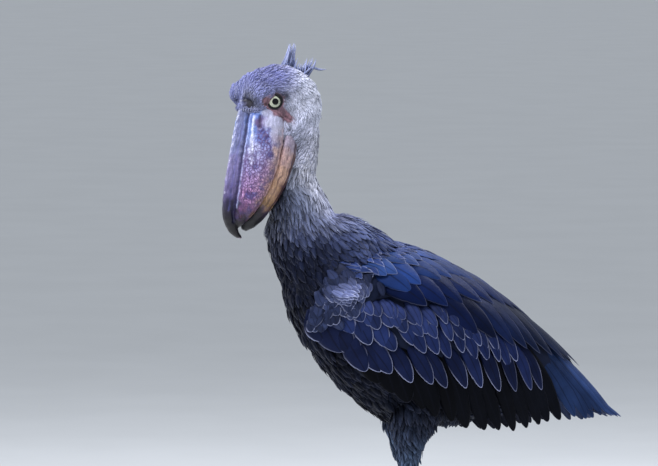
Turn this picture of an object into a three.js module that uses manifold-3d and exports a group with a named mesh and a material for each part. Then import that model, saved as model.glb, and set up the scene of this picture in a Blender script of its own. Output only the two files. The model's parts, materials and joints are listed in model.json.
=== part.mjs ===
// Shoebill standing still, life size, in millimetres. +Z is up and the bird faces -Y, so its left is +X.
// The head is turned a little to its left with the bill resting straight down, and the wings are folded.

import * as THREE from 'three';
import { mergeVertices } from 'three/addons/utils/BufferGeometryUtils.js';
import Module from 'manifold-3d';

const wasm = await Module();
wasm.setup();

// Driving sizes
const GAP = 0.3; // between pieces that touch
const DEG = Math.PI / 180;
const LEFT = 1;
const RIGHT = -1;

// Neck and torso, one body from the nape to the vent: y, z, then the radii across, above and below
const SPINE = [
  [-192, 1000, 20, 22, 18],
  [-184, 972, 36, 38, 32],
  [-181, 925, 40, 42, 30],
  [-184, 882, 40, 43, 36],
  [-186, 842, 39, 40, 41],
  [-177, 795, 47, 50, 50],
  [-163, 755, 62, 62, 70],
  [-128, 715, 84, 84, 97],
  [-80, 655, 104, 108, 119],
  [-25, 597, 110, 112, 128],
  [30, 545, 106, 100, 122],
  [90, 512, 88, 78, 94],
  [150, 490, 62, 50, 58],
  [205, 474, 36, 27, 34],
  [245, 462, 10, 8, 9],
];
const NECK_JOINT = [-178, 800]; // y and z where the neck is parted in two
const SHOULDER_JOINT = [-150, 738]; // y and z where the neck leaves the torso
const HEAD_JOINT_Z = 878; // height where the neck leaves the head
const NECK_WAY = [0.2, -1]; // along the neck at its joint, as y and z
const SHOULDER_WAY = [0.62, -0.78]; // the same where it meets the torso

// Head: the middle between the eyes, the turn to the left and the fall of the bill
const EYE_MIDDLE = [8, -241, 968];
const HEAD_TURN = 14 * DEG;
const BILL_FALL = 80 * DEG;
const EYE_RADIUS = 13;
const EYE_OFFSET = 36; // from the middle of the head to an eyeball's centre
const LID = { ring: 11.2, thick: 2.6, out: 8, wide: 1.12, high: 0.92 };

// Rounded masses of the head: forward, up, right, then the radii along the same three ways
const HEAD_LOBES = [
  [-4, 8, 0, 40, 32, 40],
  [-24, -28, 0, 40, 46, 48],
  [6, -64, 0, 58, 45, 46],
  [42, -38, 0, 38, 44, 50],
  [-6, 22, 28, 20, 21, 19],
  [-6, 22, -28, 20, 21, 19],
];

// Tufts of the crest, in the head's frame
const CREST_TUFTS = [
  { root: [-62, -50, 0], way: [-1, 0.06, 0], count: 6, length: 44, spread: 34 },
  { root: [-52, -74, 0], way: [-0.8, -0.6, 0], count: 5, length: 40, spread: 40 },
];
const CREST_SINK = 12; // of a crest feather's root in the crown
const CREST_TAPER = 0.35; // how much shorter a tuft is towards its sides
const CREST_STEP = 0.14; // how much shorter every second one is
const CREST_WAVE = [7, 2.4]; // how far the crest's feathers part sideways, and the turn from one to the next

// Bill, along the same forward way: forward, middle height, half width, height above and below the middle
const UPPER_BILL = [
  [2, -8, 44, 44, 30],
  [30, -6, 48, 44, 32],
  [65, -4, 52, 43, 34],
  [100, -2, 53, 42, 34],
  [135, 1, 48, 39, 31],
  [163, 5, 38, 34, 26],
  [186, 10, 26, 27, 18],
  [202, 14, 15, 18, 12],
  [210, 16, 6, 8, 6],
];
const LOWER_BILL = [
  [10, -32, 40, 20, 32],
  [45, -32, 47, 20, 36],
  [80, -30, 49, 22, 38],
  [115, -26, 47, 22, 35],
  [150, -19, 39, 20, 30],
  [180, -12, 27, 16, 23],
  [203, -5, 14, 12, 14],
  [213, -2, 4, 4, 5],
];
const BILL_SQUARE = 2.3; // of its section below the widest line, where an ellipse has 2
const BILL_ROOF = 1.55; // and above it
// Ridge of the culmen, which ends in the hooked nail: forward, height, half width, half height
const CULMEN = [
  [4, 31, 10, 8],
  [50, 33, 9.5, 8],
  [100, 36, 9, 8],
  [145, 37, 9, 8.5],
  [172, 35, 10, 9],
  [196, 30, 11, 9],
  [213, 20, 9, 8],
  [223, 8, 5, 5],
  [227, 0, 2, 2],
];
// Line of the mouth, forward and height, from the gape to the front of the lower bill
const MOUTH = [
  [-10, -30],
  [60, -27],
  [98, -22],
  [150, -13],
  [184, -4],
  [203, 5],
  [214, 3],
];
const MOUTH_GAP = 0.8;
const MOUTH_END = 2; // past its front, where the cut turns down by MOUTH_DROP
const MOUTH_DROP = 16;
const MOUTH_REACH = 130; // of the cut, past the lower bill to every side
const MOUTH_BACK = 40; // of the cut behind the eyes
const NOSTRIL = { radii: [9, 1.5, 2.4], place: [36, 41], apart: 11 }; // slits beside the ridge near the brow

// Folded wing: y and z of its widest line, half width of the bird there, height up to the back
const WING_LINE = [
  [-158, 668, 86, 86],
  [-93, 640, 112, 104],
  [0, 606, 122, 112],
  [89, 573, 117, 102],
  [180, 533, 97, 80],
  [258, 497, 73, 55],
  [312, 467, 61, 37],
  [350, 441, 53, 25],
];
const HANG_RADIUS = [125, 460]; // how the hanging part of the wing curls in, at the wrist and behind it
const HANG_CHANGE = [40, 200]; // where along the wing the one passes into the other
const ROOT_LIFT = -9; // of the roots of the wing's feathers, in its core
const RIGHT_WING_BACK = 14; // how far the right wing is held back along its own line
const SHINGLE = 0.06; // rise of a vane from one edge to the other, for each millimetre across

// Shape of every feather, in shares of its length, width and thickness
const FEATHER = { root: 0.5, widest: 0.6, tipTurn: 1.2, tipRound: 0.12, tipThin: 0.6, rowSpread: 0.75 };

// Feather tiers of the folded left wing, from the innermost out. Tips run through the listed places, as
// s (from the wrist to the wing tip) and q (from the middle of the back down the side), in even steps. Each
// feather reaches back towards its root by its length, along the way given as an angle from s towards q.
const WING_TIERS = [
  {
    part: 'primaries',
    count: 4,
    tips: [[512, 118], [548, 84], [572, 54], [582, 34]],
    length: [200, 230],
    way: [12, -2],
    half: [17, 14],
    lift: [-13, -9],
    thick: 1.6,
    rows: 2,
    across: 1,
  },
  {
    part: 'secondaries',
    count: 9,
    tips: [[112, 288], [180, 310], [250, 312], [325, 286], [395, 240], [445, 190], [486, 142]],
    length: [90, 180],
    way: [56, 14],
    half: [27, 23],
    lift: [-9, -9],
    thick: 1.5,
    rows: 3,
    across: 1,
  },
  {
    part: 'greater coverts',
    count: 8,
    tips: [[62, 244], [104, 268], [150, 276], [225, 264], [300, 232], [368, 180], [412, 134]],
    length: [66, 84],
    way: [56, 22],
    half: [25, 23],
    lift: [-4.5, -4.5],
    thick: 1.4,
    rows: 3,
    across: 1,
  },
  {
    part: 'median coverts',
    count: 7,
    tips: [[54, 208], [98, 226], [150, 232], [205, 224], [260, 198], [310, 172], [352, 140]],
    length: [52, 60],
    way: [56, 30],
    half: [24, 22],
    lift: [-0.5, -0.5],
    thick: 1.3,
    rows: 3,
    across: 1,
  },
  {
    part: 'lesser coverts',
    count: 5,
    tips: [[48, 182], [88, 196], [160, 196], [220, 176], [270, 154]],
    length: [46, 46],
    way: [56, 36],
    half: [25, 23],
    lift: [3.5, 3.5],
    thick: 1.3,
    rows: 3,
    across: 1,
  },
  {
    part: 'tertials',
    count: 5,
    tips: [[472, 30], [440, 66], [396, 96], [346, 122], [292, 148]],
    length: [190, 120],
    way: [0, 16],
    half: [22, 26],
    lift: [0, 3],
    thick: 1.6,
    rows: 4,
    across: 1,
  },
  {
    part: 'scapulars',
    count: 4,
    tips: [[330, 36], [286, 72], [244, 108], [206, 142]],
    length: [104, 88],
    way: [6, 26],
    half: [29, 28],
    lift: [5, 7],
    thick: 1.5,
    rows: 3,
    across: 1,
  },
  {
    part: 'upper scapulars',
    count: 4,
    tips: [[236, 36], [190, 68], [152, 102], [122, 134]],
    length: [80, 64],
    way: [8, 30],
    half: [26, 26],
    lift: [8, 9],
    thick: 1.5,
    rows: 3,
    across: 1,
  },
];
// Plates under the feathers, which hold their roots: middle and half reach along s and q, the slant of q
// along s, the lift of the rim, and the thickness outside and inside it
const PLATE_SQUARE = 2.6; // an ellipse has 2, a rectangle more
const PLATE_FLAT = 0.7;
const WING_CORE = [
  { s: [215, 190], q: [182, 66], lean: -0.2, lift: -10, outer: 7, inner: 10 },
  { s: [262, 215], q: [82, 84], lean: -0.1, lift: -8, outer: 7, inner: 8 },
  { s: [42, 36], q: [148, 30], lean: 0, lift: -4, outer: 11, inner: 14 },
];

// Tail: root and tip as y and z
const TAIL_ROOT = [165, 512];
const TAIL_TIP = [366, 442];
const TAIL_FEATHERS = { count: 9, fan: 8, half: 14, length: 182, thick: 1.4, step: 1.9, droop: 260 };
const TAIL_HALF = 42; // half the width that the tail keeps to itself
// Its outline from the side: how far past the root or the tip, and the height
const TAIL_ROOM = [[-60, 9], [8, 4], [8, -18], [-60, -28]];
const TAIL_CORE = [[0, 24, 10, 16], [0.35, 33, 8, 10], [0.6, 30, 3, 4]]; // share of length, then radii
const TAIL_CORE_DROP = 6;
const TAIL_ROUND = 0.05; // how much shorter the outer feathers are

// Legs: the feathered thigh, then the bare shank with its heel, and the foot
const LEG_X = 62;
// Share of the way out to the leg, y, share of the leg's own step back, z, then half width and half depth
const THIGH = [
  [0.82, 30, 0.4, 520, 36, 50],
  [0.9, 8, 0.6, 455, 33, 43],
  [0.97, -4, 0.85, 402, 24, 28],
  [1, -3, 1, 352, 15, 16],
  [1, 0, 1, 322, 9.5, 10],
];
// y, z, half width and half depth
const SHANK = [
  [0, 336, 7, 7.5],
  [3, 300, 8, 9],
  [8, 268, 11.5, 13],
  [8, 246, 10, 12],
  [5, 205, 7.2, 8.5],
  [-1, 120, 6.8, 8],
  [-7, 45, 7.8, 9],
  [-10, 20, 12, 13],
  [-10, 4, 11, 12],
];
const RIGHT_LEG_BACK = 34; // how far the right leg stands behind the left one
const TOES = {
  middle: { length: 158, turn: 4, radius: 8.2 },
  inner: { length: 118, turn: -20, radius: 7.6 },
  outer: { length: 134, turn: 30, radius: 7.8 },
  hind: { length: 66, turn: 176, radius: 7.2 },
};
const PAD_Y = -10; // of the ball of the foot
const TOE_STATIONS = 9;
const TOE_TAPER = 0.38;
const TOE_KNUCKLES = 4;
const TOE_KNUCKLE = 0.1; // swelling of a knuckle, as a share of the toe's radius
const TOE_RISE = 3; // of a toe's root towards the ball of the foot
const SOLE_FLAT = 0.9; // depth cut from a sole by the floor
const CLAW_LENGTH = 19;
// Share of the length of a claw, z and radius
const CLAW = [
  [-0.35, 4.4, 3.6],
  [0.1, 4.8, 3.4],
  [0.5, 4.2, 2.5],
  [0.85, 2.6, 1.3],
  [1, 1.6, 0.5],
];

const V = (x, y, z) => new THREE.Vector3(x, y, z);

// A closed geometry as a solid that can be joined and cut
function solidOf(geometry) {
  const loose = geometry.index ? geometry.toNonIndexed() : geometry;
  const bare = new THREE.BufferGeometry();
  bare.setAttribute('position', loose.getAttribute('position'));
  const merged = mergeVertices(bare, 1e-3);
  const make = (triVerts) =>
    new wasm.Manifold(
      new wasm.Mesh({
        numProp: 3,
        vertProperties: merged.attributes.position.array,
        triVerts,
      }),
    );
  const made = make(new Uint32Array(merged.index.array));
  return made.volume() > 0 ? made : make(Uint32Array.from(merged.index.array).reverse());
}

// The largest closed surface of a solid
function largest(solid) {
  const bodies = solid.decompose();
  return bodies.reduce((best, body) => (body.volume() > best.volume() ? body : best));
}

const join = (solids) => solids.reduce((all, next) => all.add(next));

// A closed body round a path of stations: x, y, z, then the radii across, above and below the path
function loft(stations, options = {}) {
  const { around = 20, along = 12, side = V(1, 0, 0), power = 2, powerAbove = power, grow = 0 } = options;
  const path = new THREE.CatmullRomCurve3(stations.map(([x, y, z]) => V(x, y, z)));
  const sizes = new THREE.CatmullRomCurve3(stations.map((s) => V(s[3], s[4], s[5])));
  const geometry = new THREE.CylinderGeometry(1, 1, 1, around, along);
  const position = geometry.getAttribute('position');
  for (let i = 0; i < position.count; i++) {
    const t = THREE.MathUtils.clamp(0.5 - position.getY(i), 0, 1);
    const tangent = path.getTangent(t);
    const up = side.clone().cross(tangent).normalize();
    const across = tangent.clone().cross(up);
    const [cos, sin] = [position.getX(i), position.getZ(i)];
    const size = sizes.getPoint(t);
    const point = path.getPoint(t);
    if (t === 0) point.addScaledVector(tangent, -grow);
    if (t === 1) point.addScaledVector(tangent, grow);
    if (Math.hypot(cos, sin) > 0.5) {
      const bulge = sin > 0 ? powerAbove : power;
      const scale = (Math.abs(cos) ** bulge + Math.abs(sin) ** bulge) ** (-1 / bulge);
      point.addScaledVector(across, cos * scale * (size.x + grow));
      point.addScaledVector(up, sin * scale * ((sin > 0 ? size.y : size.z) + grow));
    }
    position.setXYZ(i, point.x, point.y, point.z);
  }
  return geometry;
}

// A closed body that blends ellipsoids into one smooth skin, seen from a centre inside them
const BLOB_REACH = 220; // from the centre, past every lobe
const BLOB_STEP = 3; // of the search inwards for the skin
function blob(centre, lobes, { around = 24, along = 14, blend = 5, grow = 0 } = {}) {
  const inside = (p) => {
    let sum = 0;
    for (const [a, b, c, ra, rb, rc] of lobes) {
      const parts = [(p.x - a) / (ra + grow), (p.y - b) / (rb + grow), (p.z - c) / (rc + grow)];
      sum += Math.max(Math.hypot(...parts), 1e-3) ** -blend;
    }
    return sum > 1;
  };
  const geometry = new THREE.SphereGeometry(1, around, along);
  const position = geometry.getAttribute('position');
  for (let i = 0; i < position.count; i++) {
    const way = V(position.getX(i), position.getY(i), position.getZ(i)).normalize();
    let [near, far] = [0, BLOB_REACH];
    for (let r = far; r > 0; r -= BLOB_STEP) {
      if (inside(centre.clone().addScaledVector(way, r))) {
        near = r;
        break;
      }
      far = r;
    }
    for (let step = 0; step < 20; step++) {
      const middle = (near + far) / 2;
      if (inside(centre.clone().addScaledVector(way, middle))) near = middle;
      else far = middle;
    }
    const point = centre.clone().addScaledVector(way, near);
    position.setXYZ(i, point.x, point.y, point.z);
  }
  return geometry;
}

// A flat outline in the y and z plane, given thickness along x
function slab(outline, halfWidth) {
  const shape = new THREE.Shape(outline.map(([y, z]) => new THREE.Vector2(y, z)));
  const geometry = new THREE.ExtrudeGeometry(shape, { depth: 2 * halfWidth, bevelEnabled: false });
  geometry.translate(0, 0, -halfWidth);
  return geometry;
}

// Turns an outline slab so that its first way is y and its second is z
const SIDEWAYS = new THREE.Matrix4().makeBasis(V(0, 1, 0), V(0, 0, 1), V(1, 0, 0));

// Neck and torso
const spineStations = SPINE.map(([y, z, side, above, below]) => [0, y, z, side, above, below]);
const bodyLoft = (grow) => solidOf(loft(spineStations, { around: 20, along: 23, grow }));

// The part of a solid on one side of a plane through (y, z), square to the way (dy, dz)
function pastPlane(solid, [y, z], [dy, dz]) {
  const size = Math.hypot(dy, dz);
  const normal = [0, dy / size, dz / size];
  const offset = normal[1] * y + normal[2] * z + GAP / 2;
  return solid.trimByPlane(normal, offset);
}

// Head, in its own frame: forward along the bill, up, and to the bird's right
const facing = V(Math.sin(HEAD_TURN), -Math.cos(HEAD_TURN), 0);
const leaned = (level, rise) => facing.clone().multiplyScalar(level).addScaledVector(V(0, 0, 1), rise);
const forward = leaned(Math.cos(BILL_FALL), -Math.sin(BILL_FALL));
const upward = leaned(Math.sin(BILL_FALL), Math.cos(BILL_FALL));
const rightward = forward.clone().cross(upward);
const headFrame = new THREE.Matrix4().makeBasis(forward, upward, rightward).setPosition(...EYE_MIDDLE);
const inHead = (geometry) => solidOf(geometry.applyMatrix4(headFrame));
const HEAD_CENTRE = V(-4, -22, 0);

const headBlob = (grow) => inHead(blob(HEAD_CENTRE, HEAD_LOBES, { grow }));

function eyeball(side, grow) {
  const geometry = new THREE.SphereGeometry(EYE_RADIUS + grow, 12, 8);
  geometry.rotateX(90 * DEG);
  geometry.translate(0, 0, -side * EYE_OFFSET);
  return inHead(geometry);
}

// A rim of skin round an eye, as the lids
function lids(side, grow) {
  const geometry = new THREE.TorusGeometry(LID.ring, LID.thick + grow, 5, 12);
  geometry.scale(LID.wide, LID.high, 1);
  geometry.translate(0, 0, -side * (EYE_OFFSET + LID.out));
  return inHead(geometry);
}

// Crest: tufts of narrow feathers at the back of the crown, each with its root, its way and its spread
function makeCrest() {
  return CREST_TUFTS.flatMap(({ root, way, count, length, spread }) => {
    const along = V(...way).normalize();
    const across = V(0, 0, 1).cross(along).normalize();
    const flat = (s, q, lift) =>
      V(...root)
        .addScaledVector(along, s)
        .addScaledVector(across, q)
        .add(V(0, 0, lift));
    return Array.from({ length: count }, (_, i) => {
      const f = i / (count - 1) - 0.5;
      const long = length * (1 - CREST_TAPER * Math.abs(f) - CREST_STEP * (i % 2));
      const turn = spread * f;
      const reach = long - CREST_SINK;
      const size = { half: 4.6, sink: 0, roll: 0, thick: 2.4, rows: 3, across: 1 };
      const place = [reach * Math.cos(turn * DEG), reach * Math.sin(turn * DEG)];
      const lift = CREST_WAVE[0] * Math.sin(i * CREST_WAVE[1]);
      return inHead(vane(flat, { tip: place, length: long, way: turn, lift, ...size }));
    });
  });
}

function makeHead(body) {
  const nape = body.trimByPlane([0, 0, 1], HEAD_JOINT_Z + GAP / 2);
  let head = join([headBlob(0), nape, lids(LEFT, 0), lids(RIGHT, 0), ...makeCrest()]);
  for (const side of [LEFT, RIGHT]) head = head.subtract(eyeball(side, GAP));
  return head;
}

// Bill
const billLoft = (stations, grow) =>
  loft(
    stations.map(([a, b, half, above, below]) => [a, b, 0, half, above, below]),
    { side: V(0, 0, 1), around: 20, along: 12, power: BILL_SQUARE, powerAbove: BILL_ROOF, grow },
  );

function mouthRegion(gap) {
  const outline = MOUTH.map(([a, b]) => [a, b - gap]);
  const last = outline[outline.length - 1];
  outline.push([last[0] + MOUTH_END - gap, last[1] - MOUTH_DROP], [last[0] - gap, -MOUTH_REACH]);
  outline.push([-MOUTH_BACK, -MOUTH_REACH], [-MOUTH_BACK, outline[0][1]]);
  return inHead(slab(outline, MOUTH_REACH));
}

function nostril(side) {
  const geometry = new THREE.SphereGeometry(1, 8, 6);
  geometry.scale(...NOSTRIL.radii);
  geometry.translate(...NOSTRIL.place, -side * NOSTRIL.apart);
  return inHead(geometry);
}

function makeUpperBill(headRoom) {
  const ridge = CULMEN.map(([a, b, half, high]) => [a, b, 0, half, high, high]);
  const ridgeSolid = inHead(loft(ridge, { side: V(0, 0, 1), around: 10, along: 14 }));
  const body = inHead(billLoft(UPPER_BILL, 0)).subtract(mouthRegion(-MOUTH_GAP / 2));
  let bill = body.add(ridgeSolid).subtract(headRoom);
  for (const side of [LEFT, RIGHT]) bill = bill.subtract(nostril(side));
  return bill;
}

function makeLowerBill(headRoom) {
  return inHead(billLoft(LOWER_BILL, 0)).intersect(mouthRegion(MOUTH_GAP / 2)).subtract(headRoom);
}

// Surface that the folded left wing lies on, in millimetres. s runs from the wrist to the wing tip, q from
// the middle of the back down the side, and lift stands out from the surface.
const wingPath = new THREE.CatmullRomCurve3(WING_LINE.map(([y, z]) => V(0, y, z)));
const wingSizes = new THREE.CatmullRomCurve3(WING_LINE.map(([, , half, high]) => V(half, high, 0)));
const WING_LENGTH = wingPath.getLength();
const quarterOf = (half, high) => (Math.PI / 2) * Math.sqrt((half * half + high * high) / 2);

function wingSurface(s, q, lift) {
  const t = wingPath.getUtoTmapping(THREE.MathUtils.clamp(s / WING_LENGTH, 0, 1));
  const centre = wingPath.getPoint(t);
  const tangent = wingPath.getTangent(t);
  const past = s < 0 ? s : Math.max(0, s - WING_LENGTH);
  centre.addScaledVector(tangent, past);
  const dorsal = V(0, -tangent.z, tangent.y);
  const { x: half, y: high } = wingSizes.getPoint(t);
  const quarter = quarterOf(half, high);
  const hang = THREE.MathUtils.lerp(...HANG_RADIUS, THREE.MathUtils.smoothstep(s, ...HANG_CHANGE));
  let out, rise, normalOut, normalRise;
  if (q < quarter) {
    const angle = (q / quarter) * (Math.PI / 2);
    [out, rise] = [half * Math.sin(angle), high * Math.cos(angle)];
    [normalOut, normalRise] = [Math.sin(angle) / half, Math.cos(angle) / high];
  } else {
    const below = q - quarter;
    [out, rise] = [half - (below * below) / (2 * hang), -below];
    [normalOut, normalRise] = [1, -below / hang];
  }
  const size = Math.hypot(normalOut, normalRise);
  centre.x += out + (normalOut / size) * lift;
  return centre.addScaledVector(dorsal, rise + (normalRise / size) * lift);
}

// A lens-shaped plate on a surface: middle and half reach along s and q, and its thickness outside and inside
function plate(surface, { s, q, lean, lift, outer, inner, around = 14, rings = 6 }) {
  const power = PLATE_SQUARE;
  const geometry = new THREE.SphereGeometry(1, around, rings);
  const position = geometry.getAttribute('position');
  for (let i = 0; i < position.count; i++) {
    const [x, y, z] = [position.getX(i), position.getY(i), position.getZ(i)];
    const ring = Math.hypot(x, z);
    const bulge = Math.abs(x / ring) ** power + Math.abs(z / ring) ** power;
    const square = ring < 1e-6 ? 0 : bulge ** (-1 / power);
    const along = s[0] + s[1] * x * square;
    const down = q[0] + q[1] * z * square + lean * s[1] * x * square;
    const rise = Math.abs(y) ** PLATE_FLAT * (y > 0 ? outer : -inner);
    const point = surface(along, down, lift + rise);
    position.setXYZ(i, point.x, point.y, point.z);
  }
  return geometry;
}

// Half width of a feather as a share of its widest, from the root at 0 past the widest place to the tip at 1
function featherWidth(t) {
  const { root, widest, tipTurn } = FEATHER;
  if (t < widest) return root + (1 - root) * Math.sin((t / widest) * (Math.PI / 2));
  return Math.cos(((t - widest) / (1 - widest)) * tipTurn);
}

// A feather as a thin closed vane on a surface, with both faces split into the same triangles
function vane(surface, { tip, length, way, half, lift, sink, roll, thick, rows, across }) {
  const sheet = new THREE.PlaneGeometry(2, 1, across, rows);
  const places = sheet.getAttribute('position');
  const count = places.count;
  const [ahead, aside] = [Math.cos(way * DEG), Math.sin(way * DEG)];
  const points = new Float32Array(count * 6);
  for (let i = 0; i < count; i++) {
    const u = places.getX(i);
    const t = (0.5 - places.getY(i)) ** FEATHER.rowSpread;
    const out = u * half * featherWidth(t);
    const back = (t - 1) * length - u * u * half * FEATHER.tipRound * t;
    const along = tip[0] + ahead * back - aside * out;
    const down = tip[1] + aside * back + ahead * out;
    const rise = lift - sink * (1 - t) ** 2 + roll * out;
    const deep = (thick / 2) * (t < 1 ? 1 : FEATHER.tipThin);
    surface(along, down, rise + deep).toArray(points, i * 3);
    surface(along, down, rise - deep).toArray(points, (count + i) * 3);
  }
  const faces = [...sheet.index.array];
  const index = [...faces];
  for (let i = 0; i < faces.length; i += 3) {
    index.push(faces[i] + count, faces[i + 2] + count, faces[i + 1] + count);
  }
  const wide = across + 1;
  const rim = [];
  for (let i = 0; i < across; i++) rim.push(i);
  for (let i = 0; i < rows; i++) rim.push(i * wide + across);
  for (let i = across; i > 0; i--) rim.push(rows * wide + i);
  for (let i = rows; i > 0; i--) rim.push(i * wide);
  rim.forEach((from, i) => {
    const to = rim[(i + 1) % rim.length];
    index.push(from, to, from + count, to, to + count, from + count);
  });
  const geometry = new THREE.BufferGeometry();
  geometry.setAttribute('position', new THREE.BufferAttribute(points, 3));
  geometry.setIndex(index);
  return geometry;
}

// The feathers of one tier, shingled by a slight roll so that each lies clear over the next
function tierOf(surface, tier) {
  const line = new THREE.CatmullRomCurve3(tier.tips.map(([s, q]) => V(s, q, 0)));
  const mixed = ([from, to], f) => from + (to - from) * f;
  return Array.from({ length: tier.count }, (_, i) => {
    const f = i / (tier.count - 1);
    const tip = line.getPointAt(f);
    const lift = mixed(tier.lift, f);
    return vane(surface, {
      ...tier,
      tip: [tip.x, tip.y],
      lift,
      sink: lift - ROOT_LIFT,
      length: mixed(tier.length, f),
      way: mixed(tier.way, f),
      half: mixed(tier.half, f),
      roll: SHINGLE,
    });
  });
}

// The left wing's geometry, or its mirror image for the right one
const mirrorX = (geometry, side) => (side === LEFT ? geometry : geometry.scale(-1, 1, 1));

function makeWing(side, rooms) {
  const slip = side === LEFT ? 0 : RIGHT_WING_BACK;
  const surface = (s, q, lift) => wingSurface(s + slip, q, lift);
  const core = WING_CORE.map((size) => plate(surface, size));
  const feathers = WING_TIERS.flatMap((tier) => tierOf(surface, tier));
  let wing = join([...core, ...feathers].map((geometry) => solidOf(mirrorX(geometry, side))));
  for (const room of rooms) wing = wing.subtract(room);
  return wing.trimByPlane([side, 0, 0], GAP / 2);
}

// Surface of the tail, s from its root towards its tip and q across, drooping to both sides
const tailAlong = V(0, TAIL_TIP[0] - TAIL_ROOT[0], TAIL_TIP[1] - TAIL_ROOT[1]);
const TAIL_LENGTH = tailAlong.length();
tailAlong.normalize();
const tailUp = V(0, -tailAlong.z, tailAlong.y);

function tailSurface(s, q, lift) {
  const rise = lift - (q * q) / (2 * TAIL_FEATHERS.droop);
  return V(q, ...TAIL_ROOT).addScaledVector(tailAlong, s).addScaledVector(tailUp, rise);
}

// Room that the tail keeps to itself under the wings, in the y and z plane
function tailRoom(grow) {
  const corner = (along, high) => {
    const place = tailSurface(along, 0, high);
    return [place.y, place.z];
  };
  const outline = TAIL_ROOM.map(([past, high]) => {
    const along = past < 0 ? past - grow : TAIL_LENGTH + past + grow;
    return corner(along, high + Math.sign(high) * grow);
  });
  return solidOf(slab(outline, TAIL_HALF + grow).applyMatrix4(SIDEWAYS));
}

// Tail feathers fan out from the root, the middle one on top and each outer pair a step lower
function makeTail(torsoRoom) {
  const { count, fan, half, length, thick, step } = TAIL_FEATHERS;
  const side = (count - 1) / 2;
  const feathers = Array.from({ length: count }, (_, i) => {
    const place = i - side;
    const way = (fan * place) / side;
    const long = length * (1 - TAIL_ROUND * (place / side) ** 2);
    const reach = TAIL_LENGTH - length + long;
    const tip = [reach * Math.cos(way * DEG), reach * Math.sin(way * DEG)];
    const lift = step * (1 - Math.abs(place));
    const flat = { sink: 0, roll: 0, rows: 4, across: 1 };
    return vane(tailSurface, { tip, length: long, way, half, lift, thick, ...flat });
  });
  const core = TAIL_CORE.map(([f, ...sizes]) => {
    const middle = tailSurface(TAIL_LENGTH * f, 0, -TAIL_CORE_DROP);
    return [0, middle.y, middle.z, ...sizes];
  });
  const solids = [loft(core, { around: 12, along: 4 }), ...feathers].map(solidOf);
  return join(solids).intersect(tailRoom(0)).subtract(torsoRoom);
}

// Legs
const legBack = (side) => (side === LEFT ? 0 : RIGHT_LEG_BACK);

function thighLoft(side, grow) {
  const stations = THIGH.map(([out, y, share, z, wide, deep]) => {
    return [LEG_X * side * out, y + legBack(side) * share, z, wide, deep, deep];
  });
  return solidOf(loft(stations, { around: 14, along: 8, grow }));
}

function shankLoft(side, grow) {
  const stations = SHANK.map(([y, z, wide, deep]) => {
    return [LEG_X * side, y + legBack(side), z, wide, deep, deep];
  });
  return solidOf(loft(stations, { around: 9, along: 12, grow }));
}

// The way a toe points, level with the floor
function toeWay(side, toe) {
  const turn = toe.turn * DEG;
  return V(Math.sin(turn) * side, -Math.cos(turn), 0);
}

const onFloor = (solid) => solid.trimByPlane([0, 0, 1], 0);

// A toe's stations: knuckles swell it, and its sole is flattened where it meets the floor
function toeStations(side, toe) {
  const way = toeWay(side, toe);
  const root = V(LEG_X * side, PAD_Y + legBack(side), 0);
  return Array.from({ length: TOE_STATIONS }, (_, i) => {
    const f = i / (TOE_STATIONS - 1);
    const knuckle = 1 + TOE_KNUCKLE * Math.cos(f * TOE_KNUCKLES * 2 * Math.PI);
    const radius = toe.radius * (1 - TOE_TAPER * f) * knuckle;
    const p = root.clone().addScaledVector(way, toe.length * f);
    return [p.x, p.y, radius - SOLE_FLAT + TOE_RISE * (1 - f) ** 3, radius, radius, radius];
  });
}

const toeSide = (way) => V(0, 0, 1).cross(way).negate();

function toeSolid(side, toe, grow) {
  const stations = toeStations(side, toe);
  return solidOf(loft(stations, { around: 7, along: 8, side: toeSide(toeWay(side, toe)), grow }));
}

function clawSolid(side, toe) {
  const way = toeWay(side, toe);
  const end = toeStations(side, toe)[TOE_STATIONS - 1];
  const radius = end[3];
  const tip = V(end[0], end[1], radius);
  const stations = CLAW.map(([f, z, size]) => {
    const p = tip.clone().addScaledVector(way, CLAW_LENGTH * f);
    return [p.x, p.y, z, size, size, size];
  });
  return solidOf(loft(stations, { around: 5, along: 4, side: toeSide(way) }));
}

// Finishes
const finish = (color, roughness) => new THREE.MeshStandardMaterial({ color, roughness, metalness: 0 });
const plumage = finish(0x4a5266, 0.75);
const palePlumage = finish(0x8289a0, 0.8);
const wingPlumage = finish(0x2c3446, 0.6);
const horn = finish(0x8d7f86, 0.45);
const legSkin = finish(0x2a2c30, 0.6);
const claw = finish(0x1b1a1a, 0.35);
const iris = finish(0xc9cdb4, 0.1);

// Assembly
const nodes = new THREE.Group();

function addNode(name, solid, material) {
  const mesh = largest(solid).getMesh();
  const count = mesh.numProp;
  const places = new Float32Array(mesh.numVert * 3);
  for (let i = 0; i < mesh.numVert; i++) {
    places.set(mesh.vertProperties.subarray(i * count, i * count + 3), i * 3);
  }
  const geometry = new THREE.BufferGeometry();
  geometry.setAttribute('position', new THREE.BufferAttribute(places, 3));
  geometry.setIndex(new THREE.BufferAttribute(mesh.triVerts, 1));
  geometry.computeVertexNormals();
  const node = new THREE.Mesh(geometry, material);
  node.name = name;
  nodes.add(node);
}

const body = bodyLoft(0);
const bodyRoom = bodyLoft(GAP);
const eyeRoom = [LEFT, RIGHT].flatMap((side) => [lids(side, GAP), eyeball(side, GAP)]);
const napeRoom = bodyRoom.trimByPlane([0, 0, 1], HEAD_JOINT_Z - GAP);
const headRoom = join([headBlob(GAP), napeRoom, ...eyeRoom]);
addNode('head', makeHead(body), palePlumage);
addNode('bill_upper', makeUpperBill(headRoom), horn);
addNode('bill_lower', makeLowerBill(headRoom), horn);

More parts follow.
